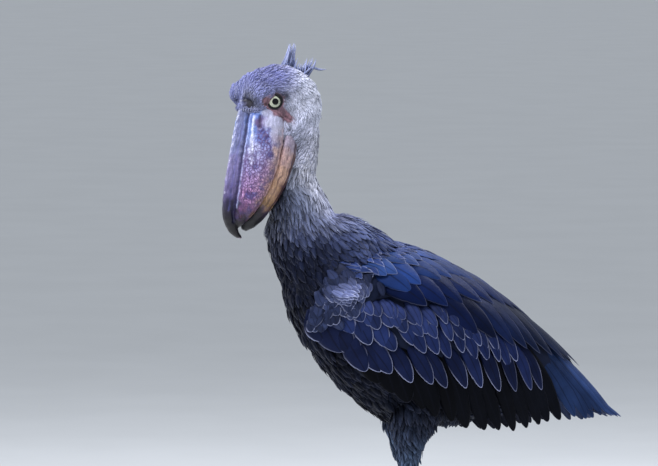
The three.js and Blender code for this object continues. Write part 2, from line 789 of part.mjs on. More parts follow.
const belowHead = body.trimByPlane([0, 0, -1], -HEAD_JOINT_Z + GAP / 2).subtract(headRoom);
const neckRoom = inHead(billLoft(LOWER_BILL, GAP)).subtract(headRoom);
const reversed = (way) => way.map((v) => -v);
const upperNeck = pastPlane(belowHead, NECK_JOINT, reversed(NECK_WAY));
addNode('neck_upper', upperNeck.subtract(neckRoom), palePlumage);
const belowNeck = pastPlane(belowHead, NECK_JOINT, NECK_WAY);
const lowerNeck = pastPlane(belowNeck, SHOULDER_JOINT, reversed(SHOULDER_WAY));
addNode('neck_lower', lowerNeck.subtract(neckRoom), plumage);
addNode('torso', pastPlane(body, SHOULDER_JOINT, SHOULDER_WAY), plumage);

for (const [side, name] of [[LEFT, 'left'], [RIGHT, 'right']]) {
  addNode(`eye_${name}`, eyeball(side, 0), iris);
  const thigh = thighLoft(side, 0);
  addNode(`wing_${name}`, makeWing(side, [bodyRoom, tailRoom(GAP), thighLoft(side, GAP)]), wingPlumage);
  addNode(`thigh_${name}`, thigh.subtract(bodyRoom), plumage);
  addNode(`shank_${name}`, onFloor(shankLoft(side, 0).subtract(thighLoft(side, GAP))), legSkin);
  let room = shankLoft(side, GAP);
  for (const [part, toe] of Object.entries(TOES)) {
    addNode(`toe_${name}_${part}`, onFloor(toeSolid(side, toe, 0).subtract(room)), legSkin);
    room = room.add(toeSolid(side, toe, GAP));
    addNode(`claw_${name}_${part}`, clawSolid(side, toe).subtract(toeSolid(side, toe, GAP)), claw);
  }
}
addNode('tail', makeTail(bodyRoom), wingPlumage);

// The origin is on the floor, under the middle of the whole bird
const box = new THREE.Box3().setFromObject(nodes);
const middle = box.getCenter(V(0, 0, 0));
nodes.position.set(-middle.x, -middle.y, 0);
const shoebill = new THREE.Group();
shoebill.add(nodes);

export default shoebill;
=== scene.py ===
"""Shoebill, still and life size, dressed in feathers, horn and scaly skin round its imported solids.

The bird stands on a plain floor in soft studio light. Its sizes are given in millimetres in the bird's own
frame, where the floor is at z 0, the bird faces -Y and its left is +X. Place turns them into the metres of
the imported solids. The head has a frame of its own: forward along the bill, up, and to the bird's right.
"""

from __future__ import annotations

import json
import logging
import math
from dataclasses import dataclass, field
from enum import Enum
from typing import Callable, Sequence

import bmesh
import bpy
import numpy as np
from mathutils import Matrix, Vector
from mathutils.kdtree import KDTree

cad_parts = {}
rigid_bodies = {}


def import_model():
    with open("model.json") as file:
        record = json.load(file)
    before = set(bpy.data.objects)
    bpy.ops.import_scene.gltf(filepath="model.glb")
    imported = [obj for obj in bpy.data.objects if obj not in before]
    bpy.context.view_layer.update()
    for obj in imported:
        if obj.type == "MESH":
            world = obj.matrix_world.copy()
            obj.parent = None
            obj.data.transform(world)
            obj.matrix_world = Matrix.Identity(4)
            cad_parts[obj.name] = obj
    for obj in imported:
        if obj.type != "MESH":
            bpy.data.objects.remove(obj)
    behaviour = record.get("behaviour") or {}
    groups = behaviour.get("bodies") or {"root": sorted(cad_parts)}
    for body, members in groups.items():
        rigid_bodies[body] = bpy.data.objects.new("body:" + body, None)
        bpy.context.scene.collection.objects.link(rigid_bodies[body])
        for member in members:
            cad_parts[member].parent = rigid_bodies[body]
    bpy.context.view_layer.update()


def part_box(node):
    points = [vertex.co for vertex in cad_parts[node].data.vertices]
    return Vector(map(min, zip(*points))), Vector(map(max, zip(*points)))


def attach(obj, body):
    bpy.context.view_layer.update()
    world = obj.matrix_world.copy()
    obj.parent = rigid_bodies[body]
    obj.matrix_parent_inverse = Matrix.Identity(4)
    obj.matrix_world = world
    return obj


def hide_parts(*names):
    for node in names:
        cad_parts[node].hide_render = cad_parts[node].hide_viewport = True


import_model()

LOG = logging.getLogger("shoebill")
MM = 0.001
DEG = math.pi / 180
TURN = 2 * math.pi
SEED = 20
ROOT = "root"  # the one body that every piece rides on
PATCH = 0.003  # width of a feather's own patch in the unwrap
HEAD_MIDDLE = (-4, -22, 0)  # in the head's frame
EYE_OFFSET = 36.0
Array = np.ndarray
Object = bpy.types.Object
Row = tuple[float, ...]
Place3 = tuple[float, float, float]


class Side(Enum):
    """The two sides of the bird, each with the sign of its x."""

    LEFT = 1
    RIGHT = -1

    @property
    def label(self) -> str:
        """The word that node names use for this side."""
        return self.name.lower()


class Slot(Enum):
    """Material slots of the record."""

    HEAD = "head_plumage"
    NECK = "neck_plumage"
    BODY = "body_plumage"
    FLIGHT = "flight_feathers"
    BILL = "bill_horn"
    EYE = "eye_surface"
    LEG = "leg_skin"
    CLAW = "claw_horn"


def srgb(code: str) -> tuple[float, float, float, float]:
    """Turns an sRGB hex colour into a linear one.

    Args:
        code: Six hex digits after a hash sign.

    Returns:
        Linear red, green and blue, and an alpha of 1.
    """
    parts = [int(code[i : i + 2], 16) / 255 for i in (1, 3, 5)]
    linear = [c / 12.92 if c <= 0.04045 else ((c + 0.055) / 1.055) ** 2.4 for c in parts]
    return (linear[0], linear[1], linear[2], 1.0)


def tone(code: str) -> Array:
    """Gives an sRGB hex colour as three linear numbers to reckon with."""
    return np.array(srgb(code)[:3])


def smooth(low: float, high: float, value: Array) -> Array:
    """Rises smoothly from 0 at low to 1 at high, or falls where high is the lower one.

    Args:
        low: Value that gives 0.
        high: Value that gives 1.
        value: Values to look up.

    Returns:
        Shares from 0 to 1.
    """
    t = np.clip((np.asarray(value, float) - low) / (high - low), 0, 1)
    return t * t * (3 - 2 * t)


def unit(vectors: Array) -> Array:
    """Scales vectors to length 1 along their last axis."""
    return vectors / np.maximum(np.linalg.norm(vectors, axis=-1, keepdims=True), 1e-12)


def away(points: Array, at: Sequence[float]) -> Array:
    """Gives the distance of points from a place."""
    return np.linalg.norm(points - np.asarray(at, float), axis=-1)


def hump(distance: Array, reach: float, power: float = 2) -> Array:
    """Falls from 1 at no distance to nothing past the reach, more sharply with a higher power."""
    return np.exp(-((distance / reach) ** power))


def mixed(first: Array, second: Array, share: Array) -> Array:
    """Blends rows of numbers into others, with the second one's share given for each row."""
    return first * (1 - share[:, None]) + second * share[:, None]


def folded(points: Array, axis: int) -> Array:
    """Folds points over the middle plane that an axis crosses."""
    return np.where(np.arange(3) == axis, np.abs(points), points)


def tree_of(points: Array) -> KDTree:
    """Puts points into a tree that finds the nearest one.

    Args:
        points: The points.

    Returns:
        The balanced tree.
    """
    tree = KDTree(len(points))
    for number, point in enumerate(points):
        tree.insert(Vector(point), number)
    tree.balance()
    return tree


def read(items: bpy.types.bpy_prop_collection, name: str, width: int = 1, kind: type = np.float32) -> Array:
    """Reads one property of all items of a mesh.

    Args:
        items: Points, corners, faces or values of the mesh.
        name: Name of the property.
        width: How many numbers it has.
        kind: Kind of its numbers.

    Returns:
        One number or row for each item.
    """
    values = np.empty(len(items) * width, kind)
    items.foreach_get(name, values)
    return values if width == 1 else values.reshape(-1, width).astype(float)


class Ripple:
    """A smooth random field made of seeded waves, for uneven shapes and colours."""

    def __init__(self, seed: int, length: float, waves: int = 14) -> None:
        """Draws the waves.

        Args:
            seed: Seed of the draw.
            length: Typical wave length in millimetres.
            waves: How many waves are added.
        """
        draw = np.random.default_rng(seed)
        self.ways = unit(draw.normal(size=(waves, 3))) * (TURN / length)
        self.ways *= draw.uniform(0.6, 1.6, size=(waves, 1))
        self.starts = draw.uniform(0, TURN, waves)

    def __call__(self, points: Array) -> Array:
        """Gives the field at points, mostly from -1 to 1."""
        waves = np.sin(points @ self.ways.T + self.starts)
        return waves.sum(axis=-1) / math.sqrt(len(self.starts) / 2) / 1.6


# Lines and bodies that repeat the solids' own, in millimetres


class Line:
    """A smooth line through points, the same one that the solids follow (a centripetal Catmull-Rom)."""

    def __init__(self, points: Sequence[Sequence[float]]) -> None:
        """Keeps the points and measures the line.

        Args:
            points: Points that the line runs through.
        """
        self.points = np.asarray(points, float)
        self.shares = np.linspace(0, 1, 401)
        steps = np.linalg.norm(np.diff(self.at(self.shares), axis=0), axis=1)
        self.lengths = np.concatenate([[0], np.cumsum(steps)])

    @property
    def length(self) -> float:
        """Length of the whole line."""
        return float(self.lengths[-1])

    def at(self, share: Array) -> Array:
        """Gives the line's points.

        Args:
            share: Places from 0 to 1, with each stretch between two points taking an equal part.

        Returns:
            One point for each place.
        """
        points = self.points
        padded = np.vstack([2 * points[0] - points[1], points, 2 * points[-1] - points[-2]])
        place = np.clip(np.asarray(share, float), 0, 1) * (len(points) - 1)
        index = np.minimum(place.astype(int), len(points) - 2)
        t = (place - index)[..., None]
        p = [padded[index + k] for k in range(4)]
        step = [p[k + 1] - p[k] for k in range(3)]
        gap = [np.maximum(np.linalg.norm(part, axis=-1, keepdims=True), 1e-9) ** 0.5 for part in step]
        t1, t2 = (
            (
                step[k - 1] / gap[k - 1] - (p[k + 1] - p[k - 1]) / (gap[k - 1] + gap[k]) + step[k] / gap[k]
            ) * gap[1]
            for k in (1, 2)
        )
        c2 = -3 * p[1] + 3 * p[2] - 2 * t1 - t2
        c3 = 2 * p[1] - 2 * p[2] + t1 + t2
        return p[1] + t1 * t + c2 * t**2 + c3 * t**3

    def way(self, share: Array) -> Array:
        """Gives the line's direction at places from 0 to 1."""
        share = np.clip(np.asarray(share, float), 0, 1)
        return unit(self.at(share + 1e-4) - self.at(share - 1e-4))

    def share(self, length: Array) -> Array:
        """Gives the places that lie at lengths along the line."""
        return np.interp(length, self.lengths, self.shares)


@dataclass(frozen=True)
class Mesh:
    """Points in millimetres and the faces between them."""

    points: Array
    faces: list[tuple[int, ...]]


def join(meshes: Sequence[Mesh]) -> Mesh:
    """Puts several meshes into one.

    Args:
        meshes: The meshes, one after another.

    Returns:
        One mesh with all points and faces.
    """
    points, faces, start = [], [], 0
    for mesh in meshes:
        points.append(mesh.points)
        faces.extend(tuple(i + start for i in face) for face in mesh.faces)
        start += len(mesh.points)
    return Mesh(np.vstack(points), faces)


def closed(rings: Array, ends: Array) -> Mesh:
    """Makes a closed body of rings with a point at each end.

    Args:
        rings: Points by ring and by place round it.
        ends: The two end points.

    Returns:
        The body, with quads along it and triangles at both ends.
    """
    count, around = rings.shape[:2]
    first, last, end = count * around, count * around + 1, (count - 1) * around
    faces: list[tuple[int, ...]] = []
    for i in range(around):
        j = (i + 1) % around
        faces += [(first, j, i), (last, end + i, end + j)]
        faces += [(a + i, a + j, a + around + j, a + around + i) for a in range(0, end, around)]
    return Mesh(np.vstack([rings.reshape(-1, 3), ends]), faces)


@dataclass(frozen=True)
class Section:
    """Cross-section of a loft: how square it is below and above its widest line, where an ellipse has 2."""

    below: float = 2.0
    above: float = 2.0


def loft(
    stations: Sequence[Row],
    around: int,
    along: int,
    side: Sequence[float] = (1, 0, 0),
    section: Section = Section(),
    grow: float = 0.0,
) -> Mesh:
    """Makes a closed body round a line of stations.

    Args:
        stations: For each one x, y, z and the radii across, above and below the line.
        around: Points in a ring.
        along: Steps along the line.
        side: The way across the line, which the section keeps to.
        section: How square the rings are.
        grow: How much the body is swollen.

    Returns:
        The body in millimetres.
    """
    table = np.asarray(stations, float)
    path, sizes = Line(table[:, :3]), Line(table[:, 3:6])
    share = np.linspace(0, 1, along + 1)
    tangent, centre = path.way(share), path.at(share)
    up = unit(np.cross(np.asarray(side, float), tangent))
    across = np.cross(tangent, up)
    size = sizes.at(share) + grow
    angle = np.linspace(0, TURN, around, endpoint=False)
    cos, sin = np.cos(angle), np.sin(angle)
    power = np.where(sin > 0, section.above, section.below)
    scale = (np.abs(cos) ** power + np.abs(sin) ** power) ** (-1 / power)
    out = (cos * scale)[None, :, None] * size[:, None, 0:1]
    high = np.where(sin[None, :] > 0, size[:, 1:2], size[:, 2:3])
    rise = ((sin * scale)[None, :] * high)[..., None]
    rings = centre[:, None] + out * across[:, None] + rise * up[:, None]
    return closed(rings, np.stack([centre[0] - tangent[0] * grow, centre[-1] + tangent[-1] * grow]))


@dataclass(frozen=True)
class HeadFrame:
    """The head's own frame: forward along the bill, up, and to the bird's right."""

    middle: Place3 = (8, -241, 968)
    turn: float = 14 * DEG
    fall: float = 80 * DEG

    @property
    def axes(self) -> Array:
        """Gives the frame's axes.

        Returns:
            Rows of forward, up and right.
        """
        facing = np.array([math.sin(self.turn), -math.cos(self.turn), 0])
        rise = np.array([0, 0, 1.0])
        forward = facing * math.cos(self.fall) - rise * math.sin(self.fall)
        upward = facing * math.sin(self.fall) + rise * math.cos(self.fall)
        return np.stack([forward, upward, np.cross(forward, upward)])

    def out(self, points: Array) -> Array:
        """Moves points from the head's frame to the bird's."""
        return np.asarray(points, float) @ self.axes + np.asarray(self.middle)

    def into(self, points: Array) -> Array:
        """Moves points from the bird's frame to the head's."""
        return (np.asarray(points, float) - np.asarray(self.middle)) @ self.axes.T


HEAD = HeadFrame()


@dataclass(frozen=True)
class BodyForm:
    """Neck and torso as one body, the thighs, the shanks and the head: the solids' stations."""

    # y, z and the radii across, above and below the line
    spine: tuple[Row, ...] = (
        (-192, 1000, 20, 22, 18), (-184, 972, 36, 38, 32), (-181, 925, 40, 42, 30), (-184, 882, 40, 43, 36),
        (-186, 842, 39, 40, 41), (-177, 795, 47, 50, 50), (-163, 755, 62, 62, 70), (-128, 715, 84, 84, 97),
        (-80, 655, 104, 108, 119), (-25, 597, 110, 112, 128), (30, 545, 106, 100, 122), (90, 512, 88, 78, 94),
        (150, 490, 62, 50, 58), (205, 474, 36, 27, 34), (245, 462, 10, 8, 9),
    )
    # Share of the way out to the leg, y, share of the leg's own step back, z, half width and half depth
    thigh: tuple[Row, ...] = (
        (0.82, 30, 0.4, 520, 36, 50), (0.9, 8, 0.6, 455, 33, 43), (0.97, -4, 0.85, 402, 24, 28),
        (1, -3, 1, 352, 15, 16), (1, 0, 1, 322, 9.5, 10),
    )
    # y, z, half width and half depth
    shank: tuple[Row, ...] = (
        (0, 336, 7, 7.5), (3, 300, 8, 9), (8, 268, 11.5, 13), (8, 246, 10, 12), (5, 205, 7.2, 8.5),
        (-1, 120, 6.8, 8), (-7, 45, 7.8, 9), (-10, 20, 12, 13), (-10, 4, 11, 12),
    )
    leg_x: float = 62
    right_leg_back: float = 34
    # Place in the head's frame and radii of each round mass of the head
    lobes: tuple[Row, ...] = (
        (-4, 8, 0, 40, 32, 40), (-24, -28, 0, 40, 46, 48), (6, -64, 0, 58, 45, 46), (42, -38, 0, 38, 44, 50),
        (-6, 22, 28, 20, 21, 19), (-6, 22, -28, 20, 21, 19),
    )
    melt: float = 5.0  # how little the lobes run into one another
    far: float = 160.0  # farther than any part of the head lies from its middle

    def spine_line(self) -> Line:
        """Gives the line of the neck and torso."""
        return Line([(0, y, z) for y, z, *_ in self.spine])

    def body(self, grow: float) -> Mesh:
        """Makes the neck and torso, swollen by grow."""
        return loft([(0, *station) for station in self.spine], around=72, along=160, grow=grow)

    def leg_back(self, side: Side) -> float:
        """Tells how far back the leg of a side stands."""
        return 0 if side is Side.LEFT else self.right_leg_back

    def thighs(self, grow: float) -> list[Mesh]:
        """Makes both feathered thighs.

        Args:
            grow: How much they are swollen.

        Returns:
            One closed body for each side.
        """
        made = []
        for side in Side:
            out, back = self.leg_x * side.value, self.leg_back(side)
            stations = [(out * f, y + back * step, z, w, d, d) for f, y, step, z, w, d in self.thigh]
            made.append(loft(stations, around=40, along=60, grow=grow))
        return made

    def in_lobes(self, points: Array, grow: float) -> Array:
        """Tells which points lie in the head's lobes, which run into one another.

        Args:
            points: Points in the head's frame.
            grow: How much the lobes are swollen.

        Returns:
            True for each point inside.
        """
        lobes = np.asarray(self.lobes, float)
        parts = (points[:, None] - lobes[None, :, :3]) / (lobes[None, :, 3:] + grow)
        reach = np.maximum(np.linalg.norm(parts, axis=2), 1e-3)
        return (reach**-self.melt).sum(axis=1) > 1

    def head_reach(self, ways: Array, grow: float) -> Array:
        """Measures from the head's middle to its skin, by halving the stretch that the skin lies in.

        Args:
            ways: Unit directions in the head's frame.
            grow: How much the head's lobes are swollen.

        Returns:
            One distance for each direction.
        """
        near, far = np.zeros(len(ways)), np.full(len(ways), self.far)
        found = np.zeros(len(ways), bool)
        step = 4.0
        for reach in np.arange(self.far, 0, -step):
            hit = self.in_lobes(HEAD_MIDDLE + ways * reach, grow) & ~found
            near[hit], far[hit] = reach, reach + step
            found |= hit
        for _ in range(14):
            middle = (near + far) / 2
            hit = self.in_lobes(HEAD_MIDDLE + ways * middle[:, None], grow)
            near, far = np.where(hit, middle, near), np.where(hit, far, middle)
        return near

    def head(self, grow: float) -> Mesh:
        """Makes the rounded head in the bird's frame.

        Args:
            grow: How much it is swollen.

        Returns:
            One closed body.
        """
        rings, around = 60, 96
        polar = np.linspace(0, math.pi, rings + 2)[1:-1]
        turn = np.linspace(0, TURN, around, endpoint=False)
        sin, cos = np.sin(polar)[:, None], np.cos(polar)[:, None]
        ways = np.stack([sin * np.cos(turn), cos * np.ones(around), -sin * np.sin(turn)], axis=-1)
        ways = np.vstack([ways.reshape(-1, 3), [[0, 1, 0], [0, -1, 0]]])
        points = HEAD.out(HEAD_MIDDLE + ways * self.head_reach(ways, grow)[:, None])
        return closed(points[:-2].reshape(rings, around, 3), points[-2:])


FORM = BodyForm()


@dataclass
class WingForm:
    """The surface that a folded wing lies on.

    s runs from the wrist to the wing tip, q from the middle of the back down the side, and lift stands out
    from the surface.
    """

    side: Side
    # y, z, half width and height over the line
    stations: tuple[Row, ...] = (
        (-158, 668, 86, 86), (-93, 640, 112, 104), (0, 606, 122, 112), (89, 573, 117, 102),
        (180, 533, 97, 80), (258, 497, 73, 55), (312, 467, 61, 37), (350, 441, 53, 25),
    )
    hang_radius: tuple[float, float] = (125.0, 460.0)  # how the hanging part curls in, at the wrist and past it
    hang_change: tuple[float, float] = (40.0, 200.0)
    right_back: float = 14.0

    def __post_init__(self) -> None:
        """Sets up the surface's lines."""
        self.slip = 0.0 if self.side is Side.LEFT else self.right_back
        self.path = Line([(0, y, z) for y, z, *_ in self.stations])
        self.sizes = Line([(half, high, 0) for _, _, half, high in self.stations])

    def __call__(self, s: Array, q: Array, lift: Array) -> Array:
        """Places points of the wing.

        Args:
            s: Lengths from the wrist towards the wing tip.
            q: Lengths from the middle of the back down the side.
            lift: Heights above the surface.

        Returns:
            Points in the bird's frame.
        """
        s = np.asarray(s, float) + self.slip
        total = self.path.length
        share = self.path.share(np.clip(s, 0, total))
        tangent = self.path.way(share)
        centre = self.path.at(share) + tangent * (np.minimum(s, 0) + np.maximum(s - total, 0))[..., None]
        dorsal = np.stack([np.zeros_like(s), -tangent[..., 2], tangent[..., 1]], axis=-1)
        half, high, _ = np.moveaxis(self.sizes.at(share), -1, 0)
        quarter = math.pi / 2 * np.sqrt((half**2 + high**2) / 2)
        low, top = self.hang_radius
        hang = low + (top - low) * smooth(*self.hang_change, s)
        angle = np.clip(q / quarter, -1, 1) * math.pi / 2
        below = np.maximum(q - quarter, 0)
        out = np.where(below > 0, half - below**2 / (2 * hang), half * np.sin(angle))
        rise = np.where(below > 0, -below, high * np.cos(angle))
        normal_out = np.where(below > 0, 1, np.sin(angle) / half)
        normal_rise = np.where(below > 0, -below / hang, np.cos(angle) / high)
        size = np.hypot(normal_out, normal_rise)
        point = centre + dorsal * (rise + normal_rise / size * lift)[..., None]
        point[..., 0] += out + normal_out / size * lift
        point[..., 0] *= self.side.value
        return point


@dataclass
class TailForm:
    """The surface of the tail, s from its root towards its tip and q across, drooping to both sides."""

    root: Place3 = (0, 165, 512)
    tip: Place3 = (0, 366, 442)
    droop: float = 260.0

    def __call__(self, s: Array, q: Array, lift: Array) -> Array:
        """Places points of the tail.

        Args:
            s: Lengths from the root towards the tip.
            q: Lengths to the bird's left.
            lift: Heights above the surface.

        Returns:
            Points in the bird's frame.
        """
        along = unit(np.subtract(self.tip, self.root))
        up = np.array([0, -along[2], along[1]])
        rise = lift - np.asarray(q) ** 2 / (2 * self.droop)
        points = self.root + np.asarray(s)[..., None] * along + rise[..., None] * up
        points[..., 0] = points[..., 0] + q
        return points

    @property
    def length(self) -> float:
        """Length from the root to the tip."""
        return math.dist(self.tip, self.root)


# The bill's stations: forward, middle height, half width, height above and below the middle
UPPER_BILL: tuple[Row, ...] = (
    (2, -8, 44, 44, 30), (30, -6, 48, 44, 32), (65, -4, 52, 43, 34), (100, -2, 53, 42, 34),
    (135, 1, 48, 39, 31),
    (163, 5, 38, 34, 26), (186, 10, 26, 27, 18), (202, 14, 15, 18, 12), (210, 16, 6, 8, 6),
)
LOWER_BILL: tuple[Row, ...] = (
    (10, -32, 40, 20, 32), (45, -32, 47, 20, 36), (80, -30, 49, 22, 38), (115, -26, 47, 22, 35),
    (150, -19, 39, 20, 30), (180, -12, 27, 16, 23), (203, -5, 14, 12, 14), (213, -2, 4, 4, 5),
)
# Ridge of the culmen, which ends in the hooked nail: forward, height, half width, half height
CULMEN: tuple[Row, ...] = (
    (4, 31, 10, 8), (50, 33, 9.5, 8), (100, 36, 9, 8), (145, 37, 9, 8.5), (172, 35, 10, 9),
    (196, 30, 11, 9), (213, 20, 9, 8), (223, 8, 5, 5), (227, 0, 2, 2),
)
# Line of the mouth: forward and height
MOUTH: tuple[Row, ...] = ((-10, -30), (60, -27), (98, -22), (150, -13), (184, -4), (203, 5), (214, 3))
BILL_SECTION = Section(below=2.3, above=1.55)
ACROSS_HEAD = (0, 0, 1)
BROW_END = 25.0  # how far the brow reaches over the bill at its middle
BROW_FLOOR = -27.0


def bill_loft(stations: Sequence[Row], steps: tuple[int, int] = (96, 150), grow: float = 0.0) -> Mesh:
    """Makes a closed body with the bill's section.

    Args:
        stations: Forward, middle height, half width, height above and below the middle.
        steps: Points round it and steps along it.
        grow: How much it is swollen.

    Returns:
        The body in the head's frame.
    """
    rows = [(a, b, 0, half, above, below) for a, b, half, above, below in stations]
    return loft(rows, *steps, ACROSS_HEAD, BILL_SECTION, grow)


def brow_cap(grow: float) -> Mesh:
    """Makes the feathered brow that overlaps the base of the bill.

    Args:
        grow: How much it is swollen.

    Returns:
        A closed body in the bird's frame.
    """
    mesh = bill_loft(((-14, -8, 38, 40, 30), (-4, -8, 42, 44, 30), *UPPER_BILL[:3]), (72, 40), grow)
    points = mesh.points.copy()
    points[:, 1] = np.maximum(points[:, 1], BROW_FLOOR)
    points[:, 0] = np.minimum(points[:, 0], brow_edge(points))
    return Mesh(HEAD.out(points), mesh.faces)


def brow_edge(points: Array) -> Array:
    """Tells how far forward the feathered brow and bare lore reach over the bill, in the head's frame."""
    b, beside = points[:, 1], smooth(28, 44, np.abs(points[:, 2]))
    return BROW_END - beside * (5 + 0.75 * np.maximum(b, 0)) + 0.28 * np.maximum(-b, 0)


def in_bill(points: Array, margin: float) -> Array:
    """Tells which points lie in the bill.

    Args:
        points: Points in the head's frame.
        margin: How far outside its surface a point still counts.

    Returns:
        True for each point inside.
    """
    found = np.zeros(len(points), bool)
    a, b, c = points.T
    for stations in (UPPER_BILL, LOWER_BILL):
        table = np.asarray(stations, float)
        middle, half, above, below = (np.interp(a, table[:, 0], table[:, k]) for k in (1, 2, 3, 4))
        high = np.where(b > middle, above, below) + margin
        power = np.where(b > middle, BILL_SECTION.above, BILL_SECTION.below)
        reach = np.abs(c / (half + margin)) ** power + np.abs((b - middle) / high) ** power
        found |= (reach < 1) & (a > table[0, 0] - margin) & (a < table[-1, 0])
    return found & ~((a < brow_edge(points) - 1.5) & (b > BROW_FLOOR))


# Turning meshes into Blender objects


class Place:
    """Turns the bird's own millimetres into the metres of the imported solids."""

    def __init__(self) -> None:
        """Measures the shift between both frames at the left eye."""
        low, high = (np.asarray(corner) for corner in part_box("eye_left"))
        self.shift = (low + high) / 2 - HEAD.out(np.array([0, 0, -EYE_OFFSET])) * MM

    def metres(self, points: Array) -> Array:
        """Gives points in the solids' frame."""
        return np.asarray(points, float) * MM + self.shift

    def read(self, made: Object) -> Array:
        """Gives an object's points in the bird's frame."""
        return (read(made.data.vertices, "co", 3) - self.shift) / MM

    def write(self, made: Object, points: Array) -> None:
        """Moves an object's points to places in the bird's frame."""
        made.data.vertices.foreach_set("co", self.metres(points).astype(np.float32).ravel())
        made.data.update()


class Kind(Enum):
    """Blender's names of the nodes in the materials and in the coat's tree."""

    ATTRIBUTE = "ShaderNodeAttribute"
    AXES = "FunctionNodeAxesToRotation"
    BUMP = "ShaderNodeBump"
    CELLS = "ShaderNodeTexVoronoi"
    COLLECTION = "GeometryNodeCollectionInfo"
    COMBINE = "ShaderNodeCombineXYZ"
    DRESS = "GeometryNodeSetMaterial"
    EULER = "FunctionNodeEulerToRotation"
    GIVEN = "NodeGroupInput"
    INSTANCES = "GeometryNodeInstanceOnPoints"
    MAP = "ShaderNodeUVMap"
    MAPPING = "ShaderNodeMapping"
    MATH = "ShaderNodeMath"
    MIX = "ShaderNodeMix"
    NAMED = "GeometryNodeInputNamedAttribute"
    NOISE = "ShaderNodeTexNoise"
    OBJECT = "ShaderNodeTexCoord"
    OUTPUT = "ShaderNodeOutputMaterial"
    RANDOM = "FunctionNodeRandomValue"
    RANGE = "ShaderNodeMapRange"
    REAL = "GeometryNodeRealizeInstances"
    RESULT = "NodeGroupOutput"
    ROTATE = "FunctionNodeRotateRotation"
    SEPARATE = "ShaderNodeSeparateXYZ"
    SHADER = "ShaderNodeBsdfPrincipled"
    SPREAD = "GeometryNodeDistributePointsOnFaces"
    STORE = "GeometryNodeStoreNamedAttribute"
    VECTOR = "ShaderNodeVectorMath"
    WORLD = "ShaderNodeBackground"
    WORLD_OUTPUT = "ShaderNodeOutputWorld"


# What all nodes of a kind have in common here
COMMON: dict[Kind, dict[str, str]] = {
    Kind.CELLS: {"feature": "DISTANCE_TO_EDGE"},
    Kind.MATH: {"operation": "MULTIPLY"},
    Kind.MIX: {"data_type": "RGBA"},
    Kind.RANGE: {"interpolation_type": "SMOOTHSTEP"},
    Kind.VECTOR: {"operation": "SCALE"},
}


@dataclass
class Graph:
    """A node tree that is being built."""

    tree: bpy.types.NodeTree

    def add(
        self, kind: Kind, *values: object, out: str = "", **settings: object
    ) -> bpy.types.NodeSocket | None:
        """Adds a node with its settings and links.

        Args:
            kind: Kind of the node.
            values: What its enabled inputs are set to or linked from, in their order, or one dictionary of
                them by name.
            out: Name of the output that is wanted, where it isn't the first enabled one.
            settings: The node's own settings.

        Returns:
            The node's output.
        """
        node = self.tree.nodes.new(kind.value)
        for name, value in {**COMMON.get(kind, {}), **settings}.items():
            setattr(node, name, value)
        enabled = [socket for socket in node.inputs if socket.enabled]
        if len(values) == 1 and isinstance(values[0], dict):
            pairs = [(next(s for s in enabled if s.name == name), value) for name, value in values[0].items()]
        else:
            pairs = list(zip(enabled, values))
        for socket, value in pairs:
            if isinstance(value, bpy.types.NodeSocket):
                self.tree.links.new(value, socket)
            else:
                socket.default_value = value
        return next((s for s in node.outputs if s.enabled and out in ("", s.name)), None)


@dataclass
class Paint:
    """What the points and corners of a mesh carry for its material and coat."""

    floats: dict[str, Array] = field(default_factory=dict)
    vectors: dict[str, Array] = field(default_factory=dict)
    colours: dict[str, Array] = field(default_factory=dict)
    maps: dict[str, Array] = field(default_factory=dict)  # one pair for each point
    corner_maps: dict[str, Array] = field(default_factory=dict)  # one pair for each corner

    def apply(self, data: bpy.types.Mesh) -> None:
        """Writes everything to a mesh's attributes.

        Args:
            data: The mesh.
        """
        colours = {name: np.column_stack([rgb, np.ones(len(rgb))]) for name, rgb in self.colours.items()}
        for kind, key, layers in (
            ("FLOAT", "value", self.floats),
            ("FLOAT_VECTOR", "vector", self.vectors),
            ("FLOAT_COLOR", "color", colours),
        ):
            for name, values in layers.items():
                layer = data.attributes.new(name, kind, "POINT")
                layer.data.foreach_set(key, np.asarray(values, np.float32).ravel())
        corners = read(data.loops, "vertex_index", kind=np.int32)
        spread = {name: np.asarray(values)[corners] for name, values in self.maps.items()}
        for name, values in {**spread, **self.corner_maps}.items():
            layer = data.uv_layers.new(name=name, do_init=False)
            layer.uv.foreach_set("vector", np.asarray(values, np.float32).ravel())


def new_object(
    name: str, points: Array, faces: Sequence[Sequence[int]] | Array, paint: Paint | None = None
) -> Object:
    """Makes an object from points in metres.

    Args:
        name: Name of the object.
        points: Points in the solids' frame.
        faces: Faces between them.
        paint: Attributes of the mesh.

    Returns:
        The object, smooth shaded and in the scene.
    """
    data = bpy.data.meshes.new(name)
    if isinstance(faces, np.ndarray):
        count, sides = faces.shape
        data.vertices.add(len(points))
        data.vertices.foreach_set("co", np.asarray(points, np.float32).ravel())
        data.loops.add(count * sides)
        data.loops.foreach_set("vertex_index", faces.astype(np.int32).ravel())
        data.polygons.add(count)
        data.polygons.foreach_set("loop_start", np.arange(0, count * sides, sides, dtype=np.int32))
        data.update(calc_edges=True)
    else:
        data.from_pydata(np.asarray(points).tolist(), [], [list(face) for face in faces])
    if paint:
        paint.apply(data)
    data.validate()
    data.shade_smooth()
    return in_scene(name, data)


def in_scene(name: str, data: bpy.types.ID) -> Object:
    """Puts a mesh, camera or light into the scene as an object.

    Args:
        name: Name of the object.
        data: What it shows.

    Returns:
        The object.
    """
    made = bpy.data.objects.new(name, data)
    bpy.context.scene.collection.objects.link(made)
    return made


